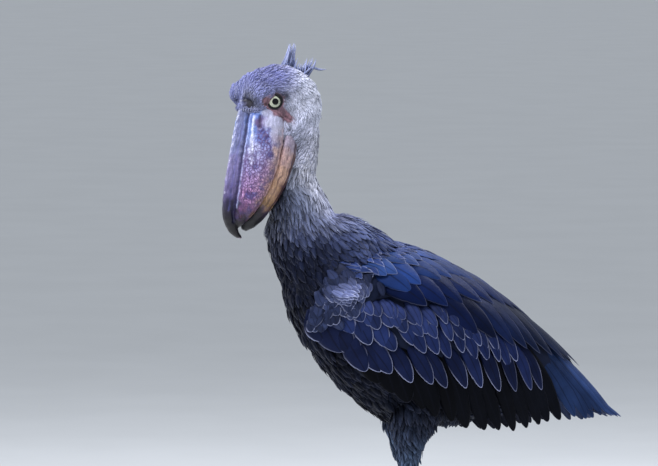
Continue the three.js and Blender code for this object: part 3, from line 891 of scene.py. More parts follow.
def frozen(source: Object, name: str) -> Object:
    """Turns an object with its modifiers into a plain one and removes the first.

    Args:
        source: Object with modifiers.
        name: Name of the new object.

    Returns:
        The new object in the scene.
    """
    graph = bpy.context.evaluated_depsgraph_get()
    evaluated = source.evaluated_get(graph)
    data = bpy.data.meshes.new_from_object(evaluated, preserve_all_data_layers=True, depsgraph=graph)
    data.name = name
    made = in_scene(name, data)
    old = source.data
    bpy.data.objects.remove(source)
    bpy.data.meshes.remove(old)
    return made


def fused(name: str, place: Place, mesh: Mesh, voxel: float, rounds: int) -> Object:
    """Melts overlapping bodies into one even, smooth surface.

    Args:
        name: Name of the object.
        place: The shift to the solids' frame.
        mesh: The bodies in the bird's frame.
        voxel: Size of the surface's cells in millimetres.
        rounds: How many times it is smoothed.

    Returns:
        The object in the scene.
    """
    rough = new_object(f"{name}_rough", place.metres(mesh.points), mesh.faces)
    remesh = rough.modifiers.new("one_body", "REMESH")
    remesh.mode = "VOXEL"
    remesh.voxel_size = voxel * MM
    soften = rough.modifiers.new("soften", "SMOOTH")
    soften.factor = 0.5
    soften.iterations = rounds
    return frozen(rough, name)


def turned_out(made: Object) -> Object:
    """Turns all faces of a closed piece outwards.

    Args:
        made: The piece.

    Returns:
        The same piece.
    """
    shape = bmesh.new()
    shape.from_mesh(made.data)
    bmesh.ops.recalc_face_normals(shape, faces=shape.faces)
    shape.to_mesh(made.data)
    shape.free()
    return made


def settle(
    piece: Object, slot: Slot, nodes: Sequence[str], finish: bpy.types.Material | None = None
) -> Object:
    """Sets a finished piece on the frame.

    Args:
        piece: The piece.
        slot: Material slot of the record that the piece stands for; not used.
        nodes: Solids that it stands for.
        finish: Its material, where it has none yet.

    Returns:
        The piece.
    """
    if finish:
        piece.data.materials.clear()
        piece.data.materials.append(finish)
    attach(piece, ROOT)
    if nodes:
        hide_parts(*nodes)
    triangles = sum(len(face.vertices) - 2 for face in piece.data.polygons)
    LOG.info("%s: %d triangles", piece.name, triangles)
    return piece


# Colours of the plumage


@dataclass(frozen=True)
class Tint:
    """A colour of the plumage round one place of the bird: x of the left side, y and z."""

    at: Place3
    reach: float
    colour: str


PLUMAGE_TINTS = tuple(
    Tint(*row)
    for row in (
        # Brow, darker cap and pale back of the crown
        ((0, -290, 1000), 26, "#6f76aa"), ((34, -262, 1002), 22, "#6a6ea2"), ((20, -235, 1026), 22, "#5a5c8e"),
        ((32, -222, 1012), 20, "#62669a"), ((38, -276, 974), 14, "#a4a9cc"), ((0, -190, 1032), 26, "#e6e9fb"),
        ((28, -178, 1008), 24, "#e6e9fa"),
        # Cheek, nape and pale upper neck
        ((45, -188, 970), 26, "#dfe2f3"), ((20, -150, 985), 30, "#dfe2f0"), ((46, -195, 925), 24, "#c3c6df"),
        ((40, -186, 888), 22, "#a3a6be"), ((25, -150, 880), 28, "#dcdce6"), ((38, -170, 862), 26, "#eceaf0"),
        ((34, -160, 832), 24, "#e2e2ec"), ((30, -146, 800), 26, "#dcdce8"), ((0, -140, 850), 28, "#dedee8"),
        # Throat and lower neck, darkest underneath, in painted shade besides the plumage's own colour
        ((0, -225, 860), 26, "#4d5364"), ((0, -215, 800), 32, "#262c3b"), ((50, -192, 800), 22, "#5a647e"),
        ((48, -182, 765), 24, "#727a9c"), ((24, -118, 775), 28, "#8488b0"), ((0, -235, 740), 36, "#111521"),
        ((62, -190, 730), 32, "#151a2d"), ((50, -90, 750), 36, "#4f5a80"),
        # Mantle, breast and belly: the near-black breast and belly hold painted shade besides the plumage's own
        # colour
        ((0, -50, 730), 40, "#445082"), ((80, -40, 680), 40, "#36446f"), ((60, -190, 660), 44, "#0f1425"),
        ((0, -210, 640), 50, "#0d111f"), ((90, -100, 640), 44, "#172040"), ((60, -110, 540), 60, "#0f1322"),
        ((0, -60, 470), 70, "#0e121d"), ((60, 30, 480), 60, "#10141f"),
        # Thigh, back and rump
        ((60, 0, 400), 46, "#748bab"), ((0, 60, 620), 60, "#3a4a7a"), ((0, 200, 480), 60, "#1d253d"),
    )
)
# Painted shade of the face in the head's frame, each place with its reach and share: round the hollow of the
# brow, behind the eye and along the bill's corner
FACE_PAINTED_SHADE: tuple[tuple[Place3, float, float], ...] = (
    ((-8, 35, 27), 9, 0.4), ((12, 36, 8), 8, 0.1), ((20, 30, 22), 9, 0.2), ((-22, 26, 34), 9, 0.3),
    ((-13, -13, 46), 7.5, 0.9), ((-16, 2, 45), 6, 0.6),
    ((36, -30, 48), 6, 0.6), ((46, -40, 49), 9, 0.35), ((62, -58, 46), 8, 0.35),
)


def plumage_colour(points: Array) -> Array:
    """Gives the plumage's colour at places of the bird.

    Args:
        points: Points in the bird's frame.

    Returns:
        Linear colours.
    """
    sides = folded(points, 0)
    distance = np.stack([away(sides, tint.at) / tint.reach for tint in PLUMAGE_TINTS], axis=1)
    weight = np.exp(-np.minimum(distance, 12) * 1.6)
    weight /= weight.sum(axis=1, keepdims=True)
    return np.exp(weight @ np.log([tone(tint.colour) for tint in PLUMAGE_TINTS]))


# Feathers


@dataclass(frozen=True)
class Cut:
    """How a feather is cut, in shares of its length and half width."""

    root: float = 0.5
    widest: float = 0.55
    blunt: float = 2.0  # roundness of the tip: 1 is a point, 2 round, more square
    camber: float = 0.16  # rise of the shaft above both edges
    bow: float = 0.05  # how far the middle stands above a straight feather
    fray: float = 0.0  # depth of the gaps between loose barbs at the edge
    rows: int = 8
    columns: int = 4

    def half(self, t: Array) -> Array:
        """Gives the half width.

        Args:
            t: Places from the root at 0 to the tip at 1.

        Returns:
            Shares of the feather's half width.
        """
        rise = self.root + (1 - self.root) * np.sin(np.clip(t / self.widest, 0, 1) * math.pi / 2)
        past = np.clip((t - self.widest) / (1 - self.widest), 0, 1)
        return np.where(t < self.widest, rise, (1 - past**self.blunt) ** (1 / max(self.blunt, 1.01)))

    def rows_at(self) -> Array:
        """Places of the rows, closer together at the round tip."""
        return np.sin(np.linspace(0, 1, self.rows + 1) * math.pi / 2) ** 0.9


def grid(rows: Array, columns: int) -> tuple[Array, Array]:
    """Lays a vane's points out row by row.

    Args:
        rows: Places of the rows along the vane.
        columns: Cells across it.

    Returns:
        For each point its place along the vane, and across it from -1 to 1.
    """
    return np.repeat(rows, columns + 1), np.tile(np.linspace(-1, 1, columns + 1), len(rows))


def vane_faces(rows: int, columns: int) -> Array:
    """Makes the triangles of one closed feather, whose flat underside spans from edge to edge.

    Args:
        rows: Rows of cells along the feather.
        columns: Cells across it.

    Returns:
        Point numbers of the triangles.
    """
    wide, last = columns + 1, rows * (columns + 1)
    faces = []
    for left in range(0, last, wide):
        right = left + columns
        for a in range(left, right):
            faces += [(a, a + 1, a + 1 + wide), (a, a + 1 + wide, a + wide)]
        faces += [(left, left + wide, right + wide), (left, right + wide, right)]
    for c in range(1, columns):
        faces += [(0, c + 1, c), (last, last + c, last + c + 1)]
    return np.array(faces)


class Vanes:
    """Closed feather vanes gathered into one mesh, with the colours and maps that their finish reads."""

    # How many numbers a point has for each name
    WIDTHS = {
        "points": (3,), "plumage": (3,), "fringe": (), "feather": (), "vane": (2,), "reach": (2,),
        "OFBake": (2,),
    }

    def __init__(self) -> None:
        """Starts without a vane."""
        self.faces: list[Array] = []
        self.rows: dict[str, list[Array]] = {name: [] for name in self.WIDTHS}
        self.count = 0

    def add(self, rows: int, columns: int, **values: Array | float) -> None:
        """Adds one vane.

        Args:
            rows: Cells along it.
            columns: Cells across it.
            values: What WIDTHS names, one for each point or one for all.
        """
        points = (rows + 1) * (columns + 1)
        self.faces.append(vane_faces(rows, columns) + self.count)
        self.count += points
        for name, width in self.WIDTHS.items():
            self.rows[name].append(np.broadcast_to(values[name], (points, *width)))

    def build(self, name: str, place: Place, flip: bool = False) -> Object:
        """Makes the mesh of all vanes.

        Args:
            name: Name of the object.
            place: The shift to the solids' frame.
            flip: Whether the vanes are mirrored, so that their faces turn round.

        Returns:
            The object.
        """
        made = {key: np.concatenate(parts) for key, parts in self.rows.items()}
        faces = np.vstack(self.faces)
        paint = Paint(
            floats={key: made[key] for key in ("fringe", "feather")},
            colours={"plumage": made["plumage"]},
            maps={key: made[key] for key in ("vane", "reach", "OFBake")},
        )
        return new_object(name, place.metres(made["points"]), faces[:, ::-1] if flip else faces, paint)


@dataclass(frozen=True)
class Feather:
    """One feather of a wing or tail: where its tip lies and how it runs back to its root."""

    tip: tuple[float, float]
    length: float
    way: float  # degrees from s towards q
    half: float
    lift: float
    dip: float  # how far the root lies below the tip
    roll: float
    cut: Cut
    colour: Array
    fringe: float
    draw: float  # the feather's own random share


class FeatherBank(Vanes):
    """Feathers that bend over one surface."""

    def __init__(self, surface: Callable[[Array, Array, Array], Array], area: tuple[float, float]) -> None:
        """Starts an empty bank.

        Args:
            surface: Surface that the feathers lie on.
            area: Lengths along s and q that the surface's own unwrap spans.
        """
        super().__init__()
        self.surface = surface
        self.area = area

    def lay(self, feather: Feather) -> None:
        """Bends a feather over the surface and adds it.

        Args:
            feather: The feather.
        """
        cut, number, length = feather.cut, len(self.faces), feather.length
        t, u = grid(cut.rows_at(), cut.columns)
        half = feather.half * cut.half(t)
        if cut.fray:
            wave = np.sin(t * 41 + number * 1.7 + np.sign(u)) * np.sin(t * 97 + number * 2.3 - np.sign(u))
            half = half * (1 - cut.fray * np.clip(wave, 0, 1) * (np.abs(u) > 0.9) * (t > 0.3))
        across, along = u * half, (t - 1) * length
        cos, sin = math.cos(feather.way * DEG), math.sin(feather.way * DEG)
        s = feather.tip[0] + cos * along - sin * across
        q = feather.tip[1] + sin * along + cos * across
        lift = feather.lift - feather.dip * (1 - t) ** 2 + feather.roll * across
        lift = lift + cut.camber * half * (1 - u**2) + cut.bow * length * np.sin(t * math.pi)
        edge = np.minimum((1 - np.abs(u)) * half, (1 - t) * length)
        vane = np.stack([u / 2 + 0.5, t], axis=1)
        root = np.array([s[0] / self.area[0], q[0] / self.area[1]]) * 0.96 + 0.02
        self.add(
            cut.rows,
            cut.columns,
            points=self.surface(s, q, lift),
            vane=vane,
            reach=np.stack([edge, t * length - np.abs(across) * 1.1 + feather.draw * 50], axis=1),
            OFBake=np.clip(root, 0, 0.996) + vane * PATCH,
            plumage=feather.colour,
            fringe=feather.fringe,
            feather=feather.draw,
        )


# Finishes


@dataclass(frozen=True)
class Finish:
    """A material with one surface shader."""

    name: str

    def surface(self, graph: Graph) -> dict[str, object]:
        """Builds the patterns of the finish.

        Args:
            graph: The material's nodes.

        Returns:
            Inputs of its Principled shader.
        """
        raise NotImplementedError

    def make(self) -> bpy.types.Material:
        """Builds the material.

        Returns:
            The material.
        """
        material = bpy.data.materials.new(self.name)
        material.use_nodes = True
        material.node_tree.nodes.clear()
        graph = Graph(material.node_tree)
        graph.add(Kind.OUTPUT, graph.add(Kind.SHADER, self.surface(graph)))
        return material


@dataclass(frozen=True)
class PlumageFinish(Finish):
    """Feather vanes of keratin: matt barbs with a dark shaft, a worn pale fringe round the tip and painted
    shade towards the root.
    """

    roughness: float = 0.62
    specular: float = 0.1
    sheen: float = 0.25
    fringe: str = "#aab0d0"
    fringe_mm: float = 1.7
    shaft: str = "#0c0e18"
    shaft_share: float = 0.55
    barb_mm: float = 2.4  # real barbs lie 0.3 mm apart, which is too fine to show
    vary: float = 0.22
    # how dark the painted shade at each feather's root gets, where the feathers above overlap it
    root_dark: float = 0.55

    def surface(self, graph: Graph) -> dict[str, object]:
        """Draws barbs, shaft and fringe over the feather's own colour.

        Args:
            graph: The material's nodes.

        Returns:
            Inputs of its Principled shader.
        """
        add = graph.add
        colour = add(Kind.ATTRIBUTE, attribute_name="plumage")
        draw, fringe = (add(Kind.ATTRIBUTE, out="Fac", attribute_name=name) for name in ("feather", "fringe"))
        aside, from_edge = (add(Kind.SEPARATE, add(Kind.MAP, uv_map=name)) for name in ("vane", "reach"))
        along, from_root = (socket.node.outputs["Y"] for socket in (aside, from_edge))
        # Soft patches 36 mm wide, as plumage has from wear and lie
        patch = add(Kind.NOISE, {"Vector": add(Kind.OBJECT, out="Object"), "Scale": 28.0, "Detail": 3.0})
        light = add(Kind.RANGE, draw, 0, 1, 1 - self.vary, 1 + self.vary)
        light = add(Kind.MATH, light, add(Kind.RANGE, patch, 0.3, 0.7, 0.82, 1.18))
        # Painted shade: darker towards the feather's root, where the feathers above overlap it
        light = add(Kind.MATH, light, add(Kind.RANGE, along, 0.25, 0.8, self.root_dark, 1.0))
        barb = add(Kind.MATH, add(Kind.MATH, from_root, TURN / self.barb_mm), operation="SINE")
        light = add(Kind.MATH, light, add(Kind.RANGE, barb, -1, 1, 0.9, 1.1))
        off = add(Kind.MATH, add(Kind.MATH, aside, 0.5, operation="SUBTRACT"), operation="ABSOLUTE")
        shaft = add(Kind.RANGE, off, 0.018, 0.05, self.shaft_share, 0.0)
        base = add(Kind.MIX, shaft, add(Kind.VECTOR, colour, light), srgb(self.shaft))
        edge = add(Kind.RANGE, from_edge, self.fringe_mm * 0.35, self.fringe_mm * 1.25, 1.0, 0.0)
        edge = add(Kind.MATH, add(Kind.MATH, edge, fringe), add(Kind.RANGE, along, 0.35, 0.8))
        return {
            "Base Color": add(Kind.MIX, edge, base, srgb(self.fringe)),
            "Roughness": self.roughness,
            "IOR": 1.54,
            "Specular IOR Level": self.specular,
            "Sheen Weight": self.sheen,
            "Sheen Roughness": 0.4,
            "Normal": add(Kind.BUMP, {"Strength": 0.35, "Distance": 0.0004, "Height": barb}),
        }


@dataclass(frozen=True)
class SkinFinish(Finish):
    """Bare skin under the plumage: matt, with fine creases and pores."""

    name: str = "bare_skin"
    crease_mm: float = 2.2

    def surface(self, graph: Graph) -> dict[str, object]:
        """Draws creases and grain over the skin's own colour.

        Args:
            graph: The material's nodes.

        Returns:
            Inputs of its Principled shader.
        """
        add = graph.add
        place = add(Kind.OBJECT, out="Object")
        cells = add(Kind.CELLS, {"Vector": place, "Scale": 1 / (self.crease_mm * MM)})
        grain = add(Kind.NOISE, {"Vector": place, "Scale": 160.0, "Detail": 4.0})  # 6 mm wide
        colour = add(Kind.ATTRIBUTE, attribute_name="plumage")
        crease = add(Kind.RANGE, cells, 0.0, 0.22)
        return {
            "Base Color": add(Kind.VECTOR, colour, add(Kind.RANGE, grain, 0.3, 0.7, 0.7, 1.15)),
            "Roughness": 0.62,
            "IOR": 1.4,
            "Specular IOR Level": 0.4,
            "Normal": add(Kind.BUMP, {"Strength": 0.5, "Distance": 0.0005, "Height": crease}),
        }


@dataclass(frozen=True)
class HornFinish(Finish):
    """Satin horn of the bill: worn, streaked along its length and mottled in a net of darker lines."""

    name: str = "mottled_bill_horn"
    net: str = "#4a2f58"
    net_mm: float = 5.4
    blotch: str = "#3c3a74"
    blotch_mm: float = 16.0
    spot: str = "#d3cfe4"
    streak_mm: float = 1.6
    roughness: float = 0.42

    def surface(self, graph: Graph) -> dict[str, object]:
        """Draws blotches, a net of lines, pale spots and growth lines over the horn's own colour.

        Args:
            graph: The material's nodes.

        Returns:
            Inputs of its Principled shader.
        """
        add = graph.add
        colour = add(Kind.ATTRIBUTE, attribute_name="plumage")
        mottle, pale = (add(Kind.ATTRIBUTE, out="Fac", attribute_name=name) for name in ("mottle", "pale"))
        place = add(Kind.OBJECT, out="Object")
        # The net wanders by up to 6 mm, so that its cells are uneven
        wander = add(Kind.NOISE, {"Vector": place, "Scale": 140.0, "Detail": 3.0}, out="Color")
        bent = add(Kind.VECTOR, place, add(Kind.VECTOR, wander, 0.006), operation="ADD")
        cells = add(Kind.CELLS, {"Vector": bent, "Scale": 1 / (self.net_mm * MM)})
        fine = add(Kind.NOISE, {"Vector": place, "Scale": 420.0, "Detail": 4.0})
        net = add(Kind.MATH, add(Kind.RANGE, cells, 0.02, 0.24, 1.0, 0.0), mottle)
        net = add(Kind.MATH, net, add(Kind.RANGE, fine, 0.3, 0.6, 0.35, 1.0))
        cloud = add(Kind.NOISE, {"Vector": bent, "Scale": 1 / (self.blotch_mm * MM), "Detail": 3.0})
        blotch = add(Kind.MATH, add(Kind.RANGE, cloud, 0.5, 0.62, 0.0, 0.9), mottle)
        base = add(Kind.MIX, blotch, colour, srgb(self.blotch))
        base = add(Kind.MIX, net, base, srgb(self.net))
        base = add(Kind.MIX, add(Kind.MATH, add(Kind.RANGE, cells, 0.3, 0.6), pale), base, srgb(self.spot))
        base = add(Kind.VECTOR, base, add(Kind.RANGE, fine, 0.3, 0.7, 0.84, 1.14))
        # Growth lines of the horn run along it: the map holds millimetres along and across it
        grain = {"Vector": add(Kind.MAP, uv_map="grain"), "Scale": (0.06, 1 / self.streak_mm, 1)}
        lines = add(Kind.NOISE, {"Vector": add(Kind.MAPPING, grain), "Scale": 1.0, "Detail": 3.0})
        height = add(Kind.MATH, lines, add(Kind.MATH, fine, 0.7), operation="ADD")
        return {
            "Base Color": add(Kind.VECTOR, base, add(Kind.RANGE, lines, 0.32, 0.68, 0.72, 1.2)),
            "Roughness": add(Kind.RANGE, lines, 0.3, 0.7, self.roughness - 0.07, self.roughness + 0.12),
            "IOR": 1.54,
            "Specular IOR Level": 0.38,
            "Coat Weight": 0.06,
            "Coat Roughness": 0.3,
            "Normal": add(Kind.BUMP, {"Strength": 0.55, "Distance": 0.0007, "Height": height}),
        }


@dataclass(frozen=True)
class EyeFinish(Finish):
    """Wet eye: black pupil, pale iris with fine rays and a dark rim, under a clear cornea."""

    name: str = "wet_cornea_over_iris"
    pupil_mm: float = 5.2
    iris_mm: float = 9.4
    pupil: str = "#020203"
    iris: str = "#c3c8b0"
    rim: str = "#07080a"

    def surface(self, graph: Graph) -> dict[str, object]:
        """Draws iris and pupil: the attribute ring holds millimetres from the eye's axis, spoke the turn.

        Args:
            graph: The material's nodes.

        Returns:
            Inputs of its Principled shader.
        """
        add = graph.add
        ring = add(Kind.ATTRIBUTE, out="Fac", attribute_name="ring")
        rays = add(Kind.MAPPING, {"Vector": add(Kind.MAP, uv_map="spoke"), "Scale": (60, 0.25, 1)})
        fibre = add(Kind.NOISE, {"Vector": rays, "Scale": 1.0, "Detail": 4.0})
        shade = add(Kind.RANGE, fibre, 0.3, 0.7, 0.72, 1.12)
        shade = add(Kind.MATH, shade, add(Kind.RANGE, ring, self.pupil_mm, self.iris_mm, 0.86, 1.1))
        hole = add(Kind.RANGE, ring, self.pupil_mm - 0.25, self.pupil_mm + 0.25, 1, 0)
        base = add(Kind.MIX, hole, add(Kind.VECTOR, srgb(self.iris)[:3], shade), srgb(self.pupil))
        rim = add(Kind.RANGE, ring, self.iris_mm - 0.5, self.iris_mm + 0.3)
        return {
            "Base Color": add(Kind.MIX, rim, base, srgb(self.rim)),
            "Roughness": 0.35,
            "IOR": 1.376,
            "Specular IOR Level": 0.05,
            "Coat Weight": 0.8,
            "Coat Roughness": 0.03,
            "Coat IOR": 1.376,
        }


@dataclass(frozen=True)
class ScaleFinish(Finish):
    """Scaly leg skin: matt dark plates with dusty grey wear on their faces."""

    name: str = "scaly_leg_skin"
    base: str = "#2a2d33"
    dust: str = "#5d626c"
    seam: str = "#0c0d10"
    scale_mm: float = 4.5

    def surface(self, graph: Graph) -> dict[str, object]:
        """Draws dusty plates with dark seams.

        Args:
            graph: The material's nodes.

        Returns:
            Inputs of its Principled shader.
        """
        add = graph.add
        place = add(Kind.OBJECT, out="Object")
        cells = add(Kind.CELLS, {"Vector": place, "Scale": 1 / (self.scale_mm * MM), "Randomness": 0.7})
        plate = add(Kind.RANGE, cells, 0.02, 0.2)
        grain = add(Kind.NOISE, {"Vector": place, "Scale": 300.0, "Detail": 5.0})  # 3 mm wide
        wear = add(Kind.MATH, plate, add(Kind.RANGE, grain, 0.35, 0.7))
        base = add(Kind.MIX, wear, srgb(self.base), srgb(self.dust))
        height = add(Kind.MATH, plate, add(Kind.MATH, grain, 0.25), operation="ADD")
        return {
            "Base Color": add(Kind.MIX, add(Kind.RANGE, cells, 0.0, 0.07, 0.8, 0.0), base, srgb(self.seam)),
            "Roughness": 0.58,
            "IOR": 1.45,
            "Specular IOR Level": 0.4,
            "Normal": add(Kind.BUMP, {"Strength": 0.6, "Distance": 0.0008, "Height": height}),
        }


@dataclass(frozen=True)
class ClawFinish(Finish):
    """Dark claw horn: satin, paler where it is scratched."""

    name: str = "dark_claw_horn"
    dark: str = "#141316"
    worn: str = "#3b3836"
    scratch_mm: float = 3.6

    def surface(self, graph: Graph) -> dict[str, object]:
        """Draws worn places.

        Args:
            graph: The material's nodes.

        Returns:
            Inputs of its Principled shader.
        """
        add = graph.add
        place = add(Kind.OBJECT, out="Object")
        grain = add(Kind.NOISE, {"Vector": place, "Scale": 1 / (self.scratch_mm * MM), "Detail": 5.0})
        return {
            "Base Color": add(Kind.MIX, add(Kind.RANGE, grain, 0.4, 0.75), srgb(self.dark), srgb(self.worn)),
            "Roughness": 0.36,
            "IOR": 1.54,
            "Specular IOR Level": 0.5,
            "Normal": add(Kind.BUMP, {"Strength": 0.3, "Distance": 0.0003, "Height": grain}),
        }


@dataclass(frozen=True)
class FloorFinish(Finish):
    """Plain pale studio floor, matt with a faint grain a third of a metre wide."""

    name: str = "matt_floor"
    dark: str = "#c4c6c4"
    light: str = "#c8cac8"

    def surface(self, graph: Graph) -> dict[str, object]:
        """Draws the grain.

        Args:
            graph: The material's nodes.

        Returns:
            Inputs of its Principled shader.
        """
        grain = {"Vector": graph.add(Kind.OBJECT, out="Object"), "Scale": 3.0, "Detail": 4.0}
        share = graph.add(Kind.RANGE, graph.add(Kind.NOISE, grain), 0.2, 0.8)
        return {"Base Color": graph.add(Kind.MIX, share, srgb(self.dark), srgb(self.light)), "Roughness": 0.9}


# Skin and coat


def from_hollow(local: Array) -> Array:
    """Distance from the hollow of the brow, wider across the face than along it and weak on the right."""
    return away(folded(local, 2) * [1, 0.5, 0.7], (8, 18.5, 11.9)) + 8 * smooth(-4, 6, local[:, 2])


def from_line(points: Array, start: Sequence[float], end: Sequence[float]) -> Array:
    """Measures the distance of points from a straight line between two places.

    Args:
        points: The points.
        start: Where the line starts.
        end: Where it ends.

    Returns:
        Distances.
    """
    way = np.subtract(end, start)
    t = np.clip((points - start) @ way / (way @ way), 0, 1)
    return np.linalg.norm(points - start - t[:, None] * way, axis=1)


class SkinPlan:
    """What the skin's points carry for the coat and the finishes."""

    UNDER_EYE = ((4, 18, 45), (21, -28, 47))
    CREASES = ((-2, 10, 46), (18, -30, 47))
    # Corner and size of the islands of body, head, left thigh and right thigh
    ISLANDS = ((0.0, 0.0, 0.5, 1.0), (0.5, 0.5, 0.5, 0.5), (0.5, 0.0, 0.25, 0.45), (0.75, 0.0, 0.25, 0.45))

    def __init__(self, points: Array, normals: Array) -> None:
        """Finds where each point lies on the bird.

        Args:
            points: Points in the bird's frame.
            normals: Their normals.
        """
        self.points, self.normals = points, normals
        self.local = HEAD.into(points)
        self.face = folded(self.local, 2)
        self.hollow = from_hollow(self.local)
        self.from_eye = away(self.face, (0, -2, EYE_OFFSET + 10))
        self.spine = FORM.spine_line()
        steps = np.linspace(0, 1, 200)
        near = tree_of(self.spine.at(steps))
        self.share = np.array([steps[near.find(Vector(point))[1]] for point in points])
        x, y, z = points.T
        self.on_thigh = (z < 470) & (np.abs(x) > 22) & (y < 90) | (z < 440)
        self.head = smooth(150, 96, away(self.local, HEAD_MIDDLE)) * (z > 865)

    def lie(self) -> Array:
        """Finds the way that the feathers lie.

        Returns:
            Unit vectors along the skin.
        """
        turn = self.local[:, :2] - np.array([20, -10])
        around = np.column_stack([-turn[:, 1], turn[:, 0], np.zeros(len(turn))])
        firm = np.clip(np.linalg.norm(turn, axis=1) / 42, 0, 1)[:, None]
        on_head = unit(unit(around) * firm + np.array([0.2, -1, 0]) * (1 - firm) * 1.3) @ HEAD.axes
        lie = unit(mixed(self.spine.way(self.share), on_head, self.head))
        lie[self.on_thigh] = unit(np.array([0, 0.25, -1.0]))
        wander = Ripple(SEED + 3, 45)
        lie = lie + 0.22 * np.column_stack([wander(self.points + apart) for apart in (0, 300, -300)])
        return unit(lie - self.normals * np.sum(lie * self.normals, axis=1, keepdims=True))

    def bare(self) -> Array:
        """Share of bare lore, from the bill's corner to the eye and under it."""
        under = hump(from_line(self.face, *self.UNDER_EYE), 10.5, 6)
        return smooth(0.35, 0.75, np.maximum(under, hump(self.from_eye, 15.5, 6)))

    def colour(self) -> Array:
        """Paints plumage and bare skin, with painted shade in the face's hollows and painted light and shade on
        the lore's creases.

        Returns:
            Linear colours.
        """
        points = self.points
        patches = 0.2 * self.head * smooth(0.1, 0.9, Ripple(SEED + 6, 13)(points))
        shade = np.clip(1 + 0.12 * Ripple(SEED + 4, 30)(points) - patches, 0.6, 1.3)
        colour = plumage_colour(points) * shade[:, None]
        # Painted shade: near black deep in the brow's hollow
        colour = mixed(colour, tone("#110e1a"), 0.98 * hump(self.hollow, 13, 4))
        # Painted shade round the brow's hollow, behind the eye and along the bill's corner
        for at, reach, most in FACE_PAINTED_SHADE:
            colour = mixed(colour, tone("#1f1c33"), hump(away(self.face, at), reach, 4) * most)
        # Painted light and shade of the lore's wrinkles: pale and dark bands along the crease's line
        crease = np.cos(from_line(self.face, *self.CREASES) * 1.35)
        skin = tone("#85646e") * (1 + 0.35 * Ripple(SEED + 5, 8)(points) + 0.4 * crease)[:, None]
        return mixed(colour, np.clip(skin, 0.01, 1), self.bare())

    def cover(self) -> Array:
        """Share of feathers that grow."""
        cover = (1 - smooth(0.25, 0.5, self.bare())) * ~in_bill(self.local, 1.0)
        # The brow's hollow stays bare, so that the painted shade on its skin shows
        return cover * smooth(13, 15.5, self.from_eye) * smooth(8.5, 11.5, self.hollow)

    def size(self) -> Array:
        """Finds how long the feathers are.

        Returns:
            Lengths in millimetres.
        """
        z = self.points[:, 2]
        size = np.interp(z, [420, 640, 720, 800, 860, 900], [28, 29, 27, 23, 19, 13])
        on_head = np.interp(self.from_eye, [14, 30, 80], [4.5, 7.5, 10.5]) * (1 - 0.45 * hump(self.hollow, 14))
        size = size * (1 - self.head) + on_head * self.head
        return np.where(self.on_thigh, np.interp(z, [330, 400, 460], [9, 18, 26]), size)

    def fringe(self) -> Array:
        """Shares of the pale fringe."""
        heights, shares = [500, 700, 790, 850, 882, 912], [0.05, 0.08, 0.16, 0.3, 0.5, 0.12]
        return np.interp(self.points[:, 2], heights, shares)

    def unwrap(self, data: bpy.types.Mesh) -> Array:
        """Lays body, head and both thighs out as islands, each along and around itself.

        Args:
            data: The skin's mesh.

        Returns:
            A place in the map for each corner.
        """
        points = self.points
        apart = points - self.spine.at(self.share)
        body = np.column_stack([np.arctan2(points[:, 0], apart[:, 1] + apart[:, 2]) / TURN + 0.5, self.share])
        out = unit(self.local - np.array(HEAD_MIDDLE))
        polar = np.arccos(np.clip(out[:, 1], -1, 1)) / math.pi
        face = np.column_stack([np.arctan2(out[:, 2], out[:, 0]) / TURN + 0.5, polar])
        leg = np.arctan2(points[:, 1], np.abs(points[:, 0]) - FORM.leg_x) / TURN + 0.5
        thigh = np.column_stack([leg, np.clip((points[:, 2] - 320) / 180, 0, 1)])
        kind = np.where(self.on_thigh, np.where(points[:, 0] > 0, 2, 3), np.where(self.head > 0.5, 1, 0))
        corners = read(data.loops, "vertex_index", kind=np.int32)
        starts = read(data.polygons, "loop_start", kind=np.int32)
        face_of = np.repeat(np.arange(len(starts)), np.diff(np.append(starts, len(corners))))
        kinds = kind[corners[starts]][face_of]
        maps = np.stack([body, face, thigh, thigh])[kinds, corners]
        top = np.maximum.reduceat(maps[:, 0], starts)[face_of]
        maps[:, 0] = (maps[:, 0] + (top - maps[:, 0] > 0.5)) * 0.92  # corners past the seam move over it
        room = np.array(self.ISLANDS)[kinds]
        return room[:, :2] + 0.004 + maps * (room[:, 2:] - 0.01)


